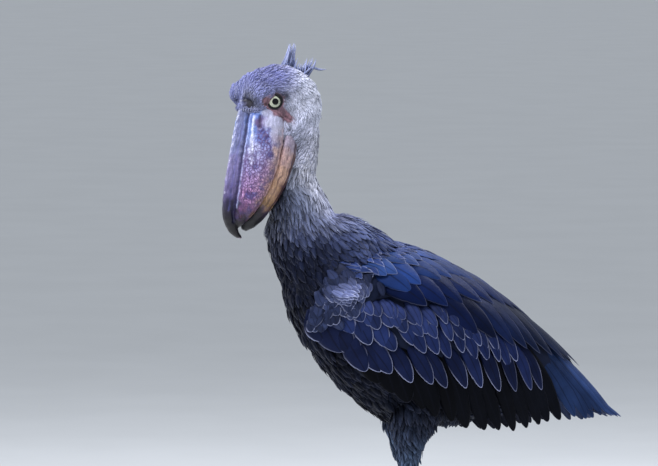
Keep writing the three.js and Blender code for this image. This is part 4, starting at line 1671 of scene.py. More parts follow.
@dataclass
class Skin:
    """The one skin of head, neck, torso and thighs, with all that the coat reads from it."""

    place: Place
    voxel: float = 3.0
    depth: float = 4.0  # how far it lies under the plumage
    thigh_depth: float = 5.0
    head_depth: float = 3.0
    brow: float = 1.2  # how far the brow is swollen
    rounds: int = 7  # of smoothing
    nodes: tuple[str, ...] = ("head", "neck_upper", "neck_lower", "torso", "thigh_left", "thigh_right")

    def build(self) -> Object:
        """Makes the skin's mesh and paints it.

        Returns:
            The skin.
        """
        thighs = FORM.thighs(-self.thigh_depth)
        parts = [FORM.body(-self.depth), *thighs, FORM.head(-self.head_depth), brow_cap(self.brow)]
        skin = fused("bird_skin", self.place, join(parts), self.voxel, self.rounds)
        points = self.place.read(skin)
        points = self.sculpt(points, read(skin.data.vertices, "normal", 3))
        self.place.write(skin, points)
        plan = SkinPlan(points, read(skin.data.vertices, "normal", 3))
        paint = Paint(
            floats={
                "cover": plan.cover(), "size": plan.size() * MM, "fringe": plan.fringe(), "head": plan.head,
                "thigh": plan.on_thigh,
            },
            vectors={"lie": plan.lie()},
            colours={"plumage": plan.colour()},
            corner_maps={"unwrap": plan.unwrap(skin.data)},
        )
        paint.apply(skin.data)
        skin.data.shade_smooth()
        return skin

    def sculpt(self, points: Array, normals: Array) -> Array:
        """Shapes the face: brow, hollow in front of the eye, bare lore and cheek.

        Args:
            points: Points in the bird's frame.
            normals: Their normals.

        Returns:
            The moved points.
        """
        local = HEAD.into(points)
        face = folded(local, 2)
        move = -6.5 * hump(from_hollow(local), 8.5)
        move -= 10 * hump(away(points, (0, -97, 783)), 27)  # where neck and back meet
        for at, reach, high in (
            ((-18, 36, 12), 12, 1.5), ((-32, 32, 10), 17, 5.0), ((-14, 12, 44), 12, 3.0),
            ((-12, 38, 24), 10, 2.5), ((14, 8, 46), 8, -1.5), ((12, -14, 48), 7, -1.5),
        ):
            move += high * hump(away(face, at), reach)
        near_head = smooth(160, 60, away(local, (0, -20, 0)))
        move += 0.8 * Ripple(SEED + 1, 26)(points) * near_head
        move += 1.2 * Ripple(SEED + 2, 60)(points) * (1 - near_head)
        return points + normals * move[:, None]


@dataclass(frozen=True)
class CoatZone:
    """A stretch of the coat: which feathers grow there, how far apart and how steeply they stand."""

    name: str
    slot: Slot
    nodes: tuple[str, ...]
    spacing: float
    width: float  # half width as a share of the length
    rise: float  # degrees between feather and skin
    jitter: float
    cut: Cut


COAT_ZONES = (
    CoatZone("head", Slot.HEAD, ("head",), 1.75, 0.2, 4, 7, Cut(0.5, 0.5, 1.7, 0.2, rows=3)),
    CoatZone(
        "neck", Slot.NECK, ("neck_upper", "neck_lower"), 2.8, 0.12, 4, 8, Cut(0.4, 0.4, 1.25, 0.25, rows=4)
    ),
    CoatZone("body", Slot.BODY, ("torso",), 4.4, 0.19, 4, 7, Cut(0.5, 0.5, 1.45, 0.15, rows=4)),
    CoatZone(
        "thighs", Slot.BODY, ("thigh_left", "thigh_right"), 3.2, 0.16, 6, 11, Cut(0.4, 0.5, 1.4, rows=4)
    ),
)


@dataclass
class Coat:
    """Feathers of head, neck, body and thighs, grown on the skin by Geometry Nodes."""

    place: Place
    skin: Object
    finishes: dict[str, bpy.types.Material]
    kinds: int = 4
    columns: int = 2
    longest: float = 24.0  # millimetres that a prototype's unit length stands for

    def cover(self, zone: CoatZone, points: Array, wings: KDTree) -> Array:
        """Tells how much of a zone's coat grows.

        Args:
            zone: The zone.
            points: The skin's points in the bird's frame.
            wings: Points of both wings' surfaces.

        Returns:
            Shares from 0 to 1.
        """
        data = self.skin.data.attributes
        grown, head, thigh = (read(data[name].data, "value") for name in ("cover", "head", "thigh"))
        head, thigh = head > 0.5, thigh > 0.5
        neck = ~head & ~thigh & (points[:, 2] > 760)
        body = ~head & ~thigh & ~neck
        grown = grown * {"head": head & ~thigh, "neck": neck, "body": body, "thighs": thigh}[zone.name]
        if zone.name == "body":
            grown = grown * smooth(16, 26, np.array([wings.find(Vector(point))[2] for point in points]))
        return grown

    def prototypes(self, zone: CoatZone) -> bpy.types.Collection:
        """Makes the few feathers that a zone repeats, each one unit long from its root at the origin.

        Args:
            zone: The zone.

        Returns:
            The feathers.
        """
        held = bpy.data.collections.new(f"feathers_{zone.name}")
        draw = np.random.default_rng(SEED + len(zone.name))
        cut = zone.cut
        t, u = grid(cut.rows_at(), self.columns)
        for number in range(self.kinds):
            half = zone.width * draw.uniform(0.85, 1.15) * cut.half(t)
            bend = draw.uniform(-0.09, 0.09) * t**2
            curl = draw.uniform(0.02, 0.1)
            high = cut.camber * half * (1 - u**2) + curl * np.sin(t * math.pi) - 0.03 * t
            edge = np.minimum((1 - np.abs(u)) * half, 1 - t)
            reach = np.column_stack([edge, t - np.abs(u * half)]) * self.longest
            paint = Paint(maps={"vane": np.column_stack([u / 2 + 0.5, t]), "reach": reach})
            points = np.column_stack([t, u * half + bend, high])
            faces = vane_faces(cut.rows, self.columns)
            made = new_object(f"feather_{zone.name}_{number}", points, faces, paint)
            bpy.context.scene.collection.objects.unlink(made)
            held.objects.link(made)
        return held

    def tree(self) -> bpy.types.NodeTree:
        """Builds the tree that sets feathers on a skin along its lie.

        Returns:
            The tree.
        """
        tree = bpy.data.node_groups.new("feather_coat", "GeometryNodeTree")
        for name, kind in {
            "Geometry": "Geometry", "Feathers": "Collection", "Finish": "Material", "Spacing": "Float",
            "Rise": "Float", "Jitter": "Float", "Kinds": "Int", "Seed": "Int",
        }.items():
            tree.interface.new_socket(name, in_out="INPUT", socket_type=f"NodeSocket{kind}")
        tree.interface.new_socket("Geometry", in_out="OUTPUT", socket_type="NodeSocketGeometry")
        add = Graph(tree).add
        given = add(Kind.GIVEN).node.outputs
        grown, size = (add(Kind.NAMED, name, data_type="FLOAT") for name in ("grown", "size"))
        names = ("lie", "vane", "unwrap")
        lie, vane, unwrap = (add(Kind.NAMED, name, data_type="FLOAT_VECTOR") for name in names)
        seeds = [add(Kind.MATH, given["Seed"], float(step), operation="ADD") for step in (1, 2, 3, 4)]
        full = add(Kind.MATH, 2.6, given["Spacing"], operation="DIVIDE")
        spread = {
            "Mesh": given["Geometry"],
            "Distance Min": given["Spacing"],
            "Density Max": add(Kind.MATH, full, given["Spacing"], operation="DIVIDE"),
            "Density Factor": grown,
            "Seed": given["Seed"],
        }
        spread = add(Kind.SPREAD, spread, distribute_method="POISSON").node.outputs
        axes = {"Primary Axis": spread["Normal"], "Secondary Axis": lie}
        lie = add(Kind.AXES, axes, primary_axis="Z", secondary_axis="X")
        loose = {"Min": (-1, -1, -1), "Max": (1, 1, 1), "Seed": seeds[0]}
        wobble = add(Kind.VECTOR, add(Kind.RANDOM, loose, data_type="FLOAT_VECTOR"), given["Jitter"])
        lifted = add(Kind.COMBINE, {"Y": add(Kind.MATH, given["Rise"], -1.0)})
        angle = add(Kind.EULER, add(Kind.VECTOR, wobble, lifted, operation="ADD"))
        share = add(Kind.RANDOM, {"Min": 0.0, "Max": 1.0, "Seed": seeds[1]}, data_type="FLOAT")
        share = {"Geometry": spread["Points"], "Name": "feather", "Value": share}
        feathers = {"Collection": given["Feathers"], "Separate Children": True, "Reset Children": True}
        top = add(Kind.MATH, given["Kinds"], -1.0, operation="ADD")
        vary = add(Kind.RANDOM, {"Min": 0.82, "Max": 1.22, "Seed": seeds[2]}, data_type="FLOAT")
        placed = {
            "Points": add(Kind.STORE, share, data_type="FLOAT", domain="POINT"),
            "Instance": add(Kind.COLLECTION, feathers),
            "Pick Instance": True,
            "Instance Index": add(Kind.RANDOM, {"Min": 0, "Max": top, "Seed": seeds[3]}, data_type="INT"),
            "Rotation": add(Kind.ROTATE, lie, angle, rotation_space="LOCAL"),
            "Scale": add(Kind.MATH, size, vary),
        }
        real = add(Kind.REAL, add(Kind.INSTANCES, placed))
        bake = add(Kind.VECTOR, unwrap, add(Kind.VECTOR, vane, PATCH), operation="ADD")
        bake = {"Geometry": real, "Name": "OFBake", "Value": bake}
        baked = add(Kind.STORE, bake, data_type="FLOAT2", domain="CORNER")
        add(Kind.RESULT, add(Kind.DRESS, {"Geometry": baked, "Material": given["Finish"]}))
        return tree

    def build(self, wings: KDTree) -> list[Object]:
        """Grows every zone.

        Args:
            wings: Points of both wings' surfaces, which leave the skin under them bare.

        Returns:
            One object for each zone.
        """
        tree = self.tree()
        keys = {item.name: item.identifier for item in tree.interface.items_tree if item.in_out == "INPUT"}
        points = self.place.read(self.skin)
        made = []
        for number, zone in enumerate(COAT_ZONES):
            base = in_scene("coat_base", self.skin.data.copy())
            Paint(floats={"grown": self.cover(zone, points, wings)}).apply(base.data)
            grow = base.modifiers.new("coat", "NODES")
            grow.node_group = tree
            held = self.prototypes(zone)
            settings = {
                "Feathers": held,
                "Finish": self.finishes[zone.name],
                "Spacing": zone.spacing * MM,
                "Rise": zone.rise * DEG,
                "Jitter": zone.jitter * DEG,
                "Kinds": self.kinds,
                "Seed": SEED + number * 10,
            }
            for name, value in settings.items():
                grow[keys[name]] = value
            coat = frozen(base, f"coat_{zone.name}")
            for name in ("lie", "size", "cover", "grown", "head", "thigh", "unwrap"):
                if layer := coat.data.attributes.get(name):
                    coat.data.attributes.remove(layer)
            for feather in list(held.objects):
                bpy.data.objects.remove(feather)
            bpy.data.collections.remove(held)
            coat.data.shade_smooth()
            made.append(settle(coat, zone.slot, zone.nodes))
        return made


# Wings, tail and crest


@dataclass(frozen=True)
class Tier:
    """A row of overlapping feathers on a wing, from its first to its last."""

    name: str
    count: int
    length: tuple[float, float]
    way: tuple[float, float]
    half: tuple[float, float]
    lift: tuple[float, float]
    colour: tuple[str, str]
    fringe: float
    cut: Cut
    loose: float  # how unevenly the feathers lie, in millimetres and degrees
    tips: tuple[tuple[float, float], ...]


FLIGHT_CUT = Cut(root=0.5, widest=0.55, blunt=1.9, camber=0.1, bow=0.012, fray=0.12, rows=18, columns=6)
COVERT_CUT = Cut(root=0.45, widest=0.5, blunt=1.75, camber=0.17, bow=0.03, fray=0.08, rows=12, columns=6)
SMALL_CUT = Cut(root=0.5, widest=0.45, blunt=1.7, camber=0.2, bow=0.04, fray=0.1, rows=8, columns=4)
PANEL_CUT = Cut(root=0.5, widest=0.5, blunt=1.4, camber=0.08, bow=0.015, fray=0.08, rows=18, columns=8)
MANTLE_CUT = Cut(root=0.5, widest=0.45, blunt=1.3, camber=0.14, bow=0.04, fray=0.4, rows=14, columns=4)
FLIGHT_TIERS = (
    Tier("primaries", 8, (200, 230), (12, -2), (17, 14), (-13, -9), ("#22345a", "#304470"),
         0.12, FLIGHT_CUT, 1.0,
         ((512, 118), (548, 84), (572, 54), (582, 34))),
    Tier("secondaries", 15, (90, 180), (56, 14), (22, 18), (-9, -9), ("#030408", "#070a14"),
         0.04, FLIGHT_CUT, 1.0,
         ((112, 288), (180, 310), (250, 312), (325, 286), (395, 240), (445, 190), (486, 142))),
    Tier("tertials", 9, (215, 130), (-1, 18), (19, 22), (0, 1.6), ("#131f38", "#0c1636"),
         0.14, PANEL_CUT, 1.2,
         ((482, 20), (456, 44), (426, 70), (392, 94), (356, 116), (316, 136), (268, 156))),
    Tier("scapulars", 9, (160, 112), (0, 26), (21, 23), (2.8, 3.0), ("#13224a", "#0c1a42"),
         0.14, PANEL_CUT, 1.7,
         ((386, 10), (346, 38), (306, 66), (264, 98), (220, 130), (168, 156))),
    Tier("scapulars_high", 9, (130, 90), (0, 28), (20, 22), (4.0, 4.2), ("#1b2c56", "#1c3264"),
         0.14, PANEL_CUT, 1.8,
         ((316, 6), (274, 32), (230, 62), (184, 96), (128, 134))),
    Tier("mantle_panel", 10, (100, 66), (0, 30), (17, 17), (5.0, 5.4), ("#26386a", "#2a4172"),
         0.25, PANEL_CUT, 2.6,
         ((246, 4), (206, 30), (166, 60), (126, 92), (88, 120))),
)
COVERT_TIERS = (
    Tier("greater_coverts", 17, (74, 92), (56, 22), (15.5, 13.5), (-4.5, -4.5), ("#131a36", "#182246"), 0.85,
         COVERT_CUT, 1.7,
         ((46, 240), (72, 262), (104, 278), (150, 284), (225, 270), (300, 236), (368, 184), (420, 138))),
    Tier("median_coverts", 18, (58, 66), (56, 30), (13, 12), (-2, -2), ("#1e294e", "#1c2750"),
         0.9, COVERT_CUT, 2.2,
         ((40, 214), (58, 222), (98, 232), (150, 234), (205, 226), (260, 200), (310, 174), (362, 140))),
    Tier("lesser_coverts_low", 18, (46, 50), (56, 34), (11.5, 11), (-0.2, 0), ("#273259", "#222d56"), 0.75,
         COVERT_CUT, 2.6, ((30, 196), (70, 204), (110, 208), (160, 206), (210, 194), (262, 170), (306, 150))),
    Tier("lesser_coverts_high", 17, (38, 42), (58, 36), (10, 9.5), (1.4, 1.4), ("#313c68", "#28335c"), 0.6,
         SMALL_CUT, 2.8, ((26, 172), (60, 182), (100, 188), (150, 186), (200, 176), (246, 156))),
    Tier("mantle_low", 24, (54, 44), (2, 32), (9, 8), (6.0, 6.3), ("#2a3864", "#2b3c6c"),
         0.45, MANTLE_CUT, 5.5,
         ((192, 2), (164, 24), (134, 46), (104, 70), (78, 92), (54, 112))),
    Tier("mantle_mid", 25, (48, 40), (0, 34), (8, 7), (6.6, 6.8), ("#2d3b66", "#2e3d6a"),
         0.5, MANTLE_CUT, 5.5,
         ((152, 2), (126, 20), (100, 40), (76, 62), (52, 82), (36, 100))),
    Tier("mantle_high", 24, (44, 36), (0, 38), (7.5, 7), (7.0, 7.2), ("#323f68", "#323f68"),
         0.5, MANTLE_CUT, 5.0,
         ((112, 2), (90, 18), (66, 38), (44, 56), (24, 76))),
    Tier("mantle_top", 22, (40, 34), (0, 42), (7.5, 7), (7.3, 7.5), ("#394469", "#384468"),
         0.5, MANTLE_CUT, 4.5,
         ((76, 2), (54, 16), (34, 32), (16, 50), (0, 66))),
    Tier("mantle_edge", 18, (36, 30), (0, 44), (7, 7), (7.5, 7.6), ("#3a4569", "#394468"),
         0.45, MANTLE_CUT, 3.5,
         ((40, 2), (22, 14), (4, 28), (-12, 42))),
)


@dataclass(frozen=True)
class WristPatch:
    """Small feathers that curve over the wrist lump and the leading edge of the wing."""

    middle: tuple[float, float] = (34, 150)
    reach: tuple[float, float] = (17, 12)
    bulge: float = 11.0
    length: tuple[float, float] = (17, 25)
    colour: str = "#747da8"
    around: str = "#2c3450"
    # First place, end and step of the rows along s and q
    rows: tuple[Place3, Place3] = ((4, 130, 6.5), (112, 214, 5.5))

    def apart(self, s: float, q: float) -> float:
        """Gives the square of the distance from the lump's middle, where 1 is its edge."""
        return ((s - self.middle[0]) / self.reach[0]) ** 2 + ((q - self.middle[1]) / self.reach[1]) ** 2


@dataclass(frozen=True)
class Pad:
    """A flat round pad of the wing's core."""

    middle: tuple[float, float]
    reach: tuple[float, float]
    lean: float
    lift: float
    outer: float  # thickness above its middle plane
    inner: float


CORE_PADS = (
    Pad((215, 182), (190, 66), -0.2, -11, 5, 8),
    Pad((246, 84), (186, 80), -0.1, -9, 5, 7),
    Pad((40, 146), (46, 38), 0, -4, 8, 12),
)


@dataclass
class Wing:
    """One folded wing: its padded core and its tiers of feathers."""

    side: Side
    place: Place
    finish: bpy.types.Material
    patch: WristPatch = WristPatch()
    area: tuple[float, float] = (600, 330)
    rings: int = 14
    around: int = 56

    def __post_init__(self) -> None:
        """Sets up the surface and the random draw."""
        self.surface = WingForm(self.side)
        self.draw = np.random.default_rng(SEED + 40 + self.side.value)

    def tier(self, bank: FeatherBank, tier: Tier) -> None:
        """Adds a tier's feathers to a bank.

        Args:
            bank: The bank.
            tier: The tier.
        """
        draw = self.draw
        tips = Line([(s, q, 0) for s, q in tier.tips])
        first, last = (tone(code) for code in tier.colour)
        for number in range(tier.count):
            f = number / (tier.count - 1)
            place = tips.at(np.array(f))
            length, way, half, lift = (
                start + (end - start) * f for start, end in (tier.length, tier.way, tier.half, tier.lift)
            )
            jolt = draw.normal(size=4) * tier.loose
            lift += (number % 2) * 0.5
            bank.lay(
                Feather(
                    tip=(place[0] + jolt[0] * 1.6, place[1] + jolt[1] * 1.6),
                    length=length * (1 + 0.03 * jolt[2]),
                    way=way + jolt[3] * 1.6,
                    half=half * draw.uniform(0.94, 1.06),
                    lift=lift,
                    dip=lift + 9,
                    roll=-0.06 - 0.02 * draw.random(),
                    cut=tier.cut,
                    colour=(first + (last - first) * f) * draw.uniform(0.75, 1.25),
                    fringe=tier.fringe * draw.uniform(0.35, 1.25),
                    draw=float(draw.random()),
                )
            )

    def wrist(self, bank: FeatherBank) -> None:
        """Adds the small feathers of the leading edge and the wrist lump.

        Args:
            bank: The bank that they join.
        """
        patch, draw = self.patch, self.draw
        pale, dark = tone(patch.colour), tone(patch.around)
        spots = []
        for s in np.arange(*patch.rows[0]):
            for q in np.arange(*patch.rows[1]):
                loose = 1.0 if patch.apart(s, q) < 1.2 else 3.0
                spots.append((s + draw.uniform(-loose, loose), q + draw.uniform(-loose, loose)))
        for s, q in sorted(spots, key=lambda spot: -spot[0]):
            on = math.exp(-patch.apart(s, q))
            front = 1 - float(smooth(30, 90, np.array(s + 0.5 * abs(q - 150))))
            if on < 0.15 and draw.random() > front * 0.8:
                continue
            if q < 122 - 0.1 * s and on < 0.2:
                continue
            length = draw.uniform(*patch.length) * (1.25 - 0.4 * on)
            bank.lay(
                Feather(
                    tip=(s + 8, q + 6),
                    length=length,
                    way=62 - 44 * on + 1.6 * (q - patch.middle[1]) * on + draw.normal() * (7 - 5 * on),
                    half=length * (0.26 - 0.1 * on),
                    lift=3.0 + patch.bulge * on + draw.uniform(-0.8, 0.8),
                    dip=4.0,
                    roll=float(draw.normal() * 0.08),
                    cut=SMALL_CUT,
                    colour=(dark * (1 - on) + pale * on) * draw.uniform(0.55 + 0.3 * on, 1.3 - 0.15 * on),
                    fringe=max(on, draw.uniform(0.0, 1.0) ** 1.5),
                    draw=float(draw.random()),
                )
            )

    def pad(self, pad: Pad) -> Mesh:
        """Makes one pad of the core.

        Args:
            pad: Its sizes.

        Returns:
            A closed body.
        """
        shares = np.sin(np.linspace(0.1, 1, self.rings) * math.pi / 2)[:, None]
        turn = np.linspace(0, TURN, self.around, endpoint=False)
        (s0, q0), (reach_s, reach_q) = pad.middle, pad.reach
        s = s0 + reach_s * shares * np.cos(turn)
        q = q0 + reach_q * shares * np.sin(turn) + pad.lean * (s - s0)
        thick = np.sqrt(1 - shares**2) * np.ones(self.around)
        top = self.surface(s, q, pad.lift + pad.outer * thick)
        bottom = self.surface(s, q, pad.lift - pad.inner * thick)[::-1]
        heights = (pad.lift + pad.outer, pad.lift - pad.inner)
        ends = [self.surface(np.array(s0), np.array(q0), np.array(height)) for height in heights]
        return closed(np.concatenate([top, bottom[1:]]), np.array(ends))

    def core(self) -> Object:
        """Makes the wing's padded body, on which the feathers lie.

        Returns:
            The core.
        """
        mesh = join([self.pad(pad) for pad in CORE_PADS])
        faces = [face[::-1] if self.side is Side.RIGHT else face for face in mesh.faces]
        count = len(mesh.points)
        flat = np.full((count, 2), 0.5)
        paint = Paint(
            floats={"fringe": np.zeros(count), "feather": np.full(count, 0.5)},
            colours={"plumage": np.tile(tone("#232c46"), (count, 1))},
            maps={"vane": flat, "reach": flat * 20, "OFBake": flat},
        )
        return new_object(f"wing_{self.side.label}_core", self.place.metres(mesh.points), faces, paint)

    def build(self) -> list[Object]:
        """Makes the wing's pieces.

        Returns:
            The core, the flight feathers with the long panel over them, and the coverts.
        """
        node = f"wing_{self.side.label}"
        banks = {name: FeatherBank(self.surface, self.area) for name in ("flight", "coverts")}
        for bank, tiers in zip(banks.values(), (FLIGHT_TIERS, COVERT_TIERS)):
            for tier in tiers:
                self.tier(bank, tier)
        self.wrist(banks["coverts"])
        flip = self.side is Side.RIGHT
        pieces = [bank.build(f"{node}_{name}", self.place, flip) for name, bank in banks.items()]
        return [settle(piece, Slot.FLIGHT, (node,), self.finish) for piece in (self.core(), *pieces)]


@dataclass
class Tail:
    """The short tail: its fan of feathers and the coverts over their roots."""

    place: Place
    finish: bpy.types.Material
    count: int = 11
    fan: float = 8.0  # degrees between the middle feather and the outer ones
    length: float = 182.0
    half: float = 15.0
    reach: float = 42.0
    area: tuple[float, float] = (260, 120)
    covert_rows: int = 3
    coverts: int = 9
    covert_length: float = 66.0

    def build(self) -> list[Object]:
        """Makes the tail.

        Returns:
            Its one piece.
        """
        form = TailForm()
        draw = np.random.default_rng(SEED + 60)
        bank = FeatherBank(form, self.area)
        dark = tone("#1d2436")
        for f in np.arange(self.count) / (self.count - 1) * 2 - 1:
            bank.lay(
                Feather(
                    tip=(form.length * (1 - 0.05 * f * f), f * self.reach),
                    length=self.length,
                    way=f * self.fan,
                    half=self.half,
                    lift=-abs(f) * 7.6,
                    dip=2,
                    roll=0.0,
                    cut=FLIGHT_CUT,
                    colour=dark * draw.uniform(0.85, 1.15),
                    fringe=0.15,
                    draw=float(draw.random()),
                )
            )
        for row in range(self.covert_rows):
            for f in np.arange(self.coverts) / (self.coverts - 1) * 2 - 1:
                bank.lay(
                    Feather(
                        tip=(form.length * (0.66 - 0.17 * row) - 8 * f * f, f * (30 - 2 * row)),
                        length=self.covert_length,
                        way=f * 10,
                        half=13,
                        lift=4 + 2 * row - abs(f) * 3,
                        dip=6,
                        roll=0.0,
                        cut=COVERT_CUT,
                        colour=dark * draw.uniform(0.9, 1.3),
                        fringe=0.25,
                        draw=float(draw.random()),
                    )
                )
        return [settle(bank.build("tail_feathers", self.place), Slot.FLIGHT, ("tail",), self.finish)]


@dataclass(frozen=True)
class Tuft:
    """A tuft of the crest in the head's frame."""

    root: Place3
    way: Place3
    count: int
    length: float
    spread: float  # degrees
    base: float = 7.0


CREST_TUFTS = (
    Tuft((-58, -44, 0), (-1, 0.05, 0), 34, 46, 7),
    Tuft((-54, -70, 0), (-0.93, -0.45, 0), 30, 34, 9),
    Tuft((-56, -58, 0), (-0.95, -0.3, 0), 16, 18, 22),
    Tuft((-67, -88, 0), (-0.1, -1, 0), 1, 26, 1, 0.5),
)


@dataclass
class Crest:
    """Ragged feathers that stand up at the back of the crown."""

    place: Place
    finish: bpy.types.Material
    rows: int = 8
    columns: int = 2
    sunk: float = 10.0  # how deep the roots lie in the head
    colour: str = "#8b95bd"

    def lay(self, vanes: Vanes, tuft: Tuft, draw: np.random.Generator) -> None:
        """Adds one slender feather.

        Args:
            vanes: Vanes that it joins.
            tuft: The tuft that it belongs to.
            draw: The random draw.
        """
        way = unit(np.asarray(tuft.way) + draw.normal(size=3) * math.tan(tuft.spread * DEG) * [0.6, 0.8, 0.8])
        apart = draw.normal(size=3) * [0.25, 1, 0.8]
        root = np.asarray(tuft.root) + apart * tuft.base - way * self.sunk
        way = unit(way - apart * tuft.base / tuft.length * 0.75)
        length = tuft.length * draw.uniform(0.5, 1.0) + self.sunk
        aside = unit(np.cross(way, draw.normal(size=3)))
        t, u = grid(np.linspace(0, 1, self.rows + 1), self.columns)
        width = draw.uniform(1.6, 3.4) * (0.6 + 0.8 * t) * (1 - t**1.8) + 0.12
        curl = draw.uniform(-6, 6) * t**2 + 0.35 * (1 - u**2) * width
        wave = draw.uniform(0.4, 1.6) * np.sin(t * draw.uniform(5, 8)) + u * width
        vane = np.column_stack([u / 2 + 0.5, t])
        moves = ((way, t * length), (np.cross(aside, way), curl), (aside, wave))
        vanes.add(
            self.rows,
            self.columns,
            points=HEAD.out(root + sum(move[:, None] * ahead for ahead, move in moves)),
            vane=vane,
            reach=np.column_stack([(1 - np.abs(u)) * width, t * length]),
            OFBake=0.6 + draw.uniform(0, 0.1, 2) + vane * PATCH,
            plumage=tone(self.colour) * draw.uniform(0.75, 1.25),
            fringe=0.5,
            feather=draw.random(),
        )

    def build(self) -> list[Object]:
        """Makes all tufts.

        Returns:
            Their one piece.
        """
        draw = np.random.default_rng(SEED + 70)
        vanes = Vanes()
        for tuft in CREST_TUFTS:
            for _ in range(tuft.count):
                self.lay(vanes, tuft, draw)
        return [settle(vanes.build("crest_feathers", self.place), Slot.HEAD, ("head",), self.finish)]


# Bill


@dataclass(frozen=True)
class Wash:
    """A colour of the bill round one place in the head's frame, the same on both sides."""

    at: Place3
    reach: float
    colour: str
    mottle: float = 0.0
    pale: float = 0.0


UPPER_WASHES = tuple(
    Wash(*row)
    for row in (
        ((30, 41, 0), 18, "#5f6488"), ((70, 44, 0), 20, "#62668c"), ((120, 45, 0), 20, "#6c668f", 0.2),
        ((160, 43, 0), 16, "#544c74", 0.2), ((180, 38, 4), 13, "#1d1830"), ((193, 35, 0), 12, "#100c1a"),
        ((30, 32, 25), 10, "#4f6eb4", 0.2), ((46, 31, 25), 10, "#5f80c0", 0.2),
        # The last wash on this line is painted shade at the bill's root, under the brow's hollow
        ((64, 30, 25), 10, "#7488bf", 0.3), ((40, 21, 36), 8, "#5e4a72", 0.4), ((6, 38, 17), 9, "#110e1a"),
        ((8, -8, 46), 8, "#7b5c68"), ((18, -22, 47), 6, "#6e505c"), ((34, 6, 45), 11, "#b4b5cd", 0.15, 0.3),
        ((46, -6, 48), 12, "#b6b5ca", 0.15, 0.3), ((60, -10, 50), 11, "#b6abc0", 0.3, 0.3),
        ((56, 15, 41), 10, "#555f9e", 1.0, 0.3), ((70, 6, 48), 10, "#6f76ab", 1.0, 0.5),
        ((86, 22, 36), 11, "#aeb0d4", 0.7, 1.0), ((92, 6, 48), 12, "#8580ae", 1.0, 0.8),
        ((108, 20, 35), 12, "#8f86b4", 1.0, 1.0), ((112, -2, 49), 12, "#9a80a8", 1.0, 0.6),
        ((130, 18, 32), 12, "#a386b2", 1.0, 0.8), ((140, 2, 42), 12, "#b98fba", 1.0, 0.7),
        ((156, 14, 29), 12, "#b083ae", 1.0, 0.6), ((166, 2, 31), 11, "#a077a2", 1.0, 0.4),
        ((178, 14, 22), 10, "#775077", 0.8, 0.1), ((56, -22, 51), 11, "#d0b2b0", 0.3, 0.1),
        ((80, -17, 52), 14, "#dcb6aa", 0.35, 0.1), ((108, -12, 50), 14, "#deb49c", 0.3, 0.1),
        ((138, -7, 43), 13, "#cda486", 0.3, 0.1), ((164, -4, 34), 9, "#a58a66", 0.4, 0.0),
        ((184, 3, 23), 9, "#8d7242", 0.6, 0.0), ((194, 20, 15), 10, "#241523", 0.4, 0.0),
        ((204, 28, 6), 14, "#0a070d", 0.0, 0.0), ((214, 14, 6), 12, "#0f080d", 0.0, 0.0),
        ((227, 1, 0), 4, "#a79ba4", 0.0, 0.0),
    )
)
LOWER_WASHES = tuple(
    Wash(*row)
    for row in (
        ((20, -44, 36), 20, "#8f8798", 0.3), ((60, -42, 46), 16, "#ada0b0", 0.3),
        ((90, -34, 48), 14, "#cba79e", 0.25), ((116, -32, 46), 14, "#d2a98f", 0.2),
        ((146, -26, 40), 13, "#c59c78", 0.15), ((172, -18, 30), 11, "#9d7b52", 0.3),
        ((100, -58, 34), 14, "#5f4438", 0.4), ((140, -46, 28), 13, "#5a3d30", 0.4),
        ((60, -70, 20), 20, "#4a3c44", 0.3), ((120, -60, 0), 20, "#3b2f36", 0.2),
        ((186, -12, 20), 11, "#120e13", 0.1), ((200, -8, 10), 10, "#0a0a0d", 0.0),
        ((211, -2, 0), 9, "#08080b", 0.0),
    )
)


@dataclass(frozen=True)
class Stroke:
    """A line drawn along the bill on both sides, as a groove, crack or streak."""

    points: tuple[Place3, ...]
    width: float
    colour: str
    share: float = 0.9
    depth: float = 0.0
    wobble: float = 0.5


UPPER_STROKES = (
    # The groove beside the culmen, carved and filled with painted shade
    Stroke(
        ((24, 34, 17), (60, 34, 18), (100, 34, 18.5), (140, 34, 18), (180, 31, 13), (204, 25, 9)),
        3.4, "#14123a", 0.96, 3.0,
    ),
    # Painted highlight along the groove's outer edge
    Stroke(
        ((26, 32, 22), (60, 32, 22.5), (100, 32, 23), (140, 31, 22), (180, 28, 17)),
        1.5, "#b4bce4", 0.65, -0.5, 0.4,
    ),
    Stroke(((28, 30, 29), (50, 29, 30), (66, 28, 31), (80, 25, 33)), 2.4, "#e4e8f8", 0.9, -0.6, 0.3),
    Stroke(((62, 28, 31), (84, 24, 33), (104, 22, 34)), 5.0, "#c9cbe4", 0.7, -0.4, 1.0),
    Stroke(((40, 36, 11), (100, 39, 11), (150, 39, 10.5), (186, 36, 7)), 1.6, "#5a5a98", 0.6, 0.6, 0.6),
    Stroke(((76, 31, 25), (120, 28, 26), (160, 25, 22)), 1.6, "#3c3068", 0.7, 0.8),
    Stroke(((26, 22, 36), (36, 20.5, 37), (46, 19.5, 38)), 2.4, "#2e1f30", 0.95, 2.2, 0.0),
    Stroke(
        ((60, -17, 52), (98, -14, 52), (140, -7, 45), (172, 0, 32), (196, 8, 17)),
        1.8, "#45262a", 0.85, 1.0, 1.2,
    ),
    Stroke(((70, -8, 53), (110, -6, 52), (146, -1, 45)), 1.1, "#6a4650", 0.5, 0.4, 1.4),
    Stroke(((150, 20, 30), (174, 16, 24), (192, 17, 16)), 1.6, "#54283c", 0.6, 0.5, 1.2),
)
LOWER_STROKES = (
    Stroke(((60, -52, 46), (100, -50, 44), (140, -42, 36), (176, -28, 24)), 4.0, "#33211c", 0.9, 1.2),
    Stroke(((70, -36, 49), (110, -31, 48), (150, -24, 40), (180, -14, 26)), 1.8, "#4a2c20", 0.8, 0.8, 1.3),
    Stroke(((90, -42, 47), (124, -38, 44), (156, -30, 36)), 1.4, "#6a4634", 0.7, 0.5, 1.3),
)


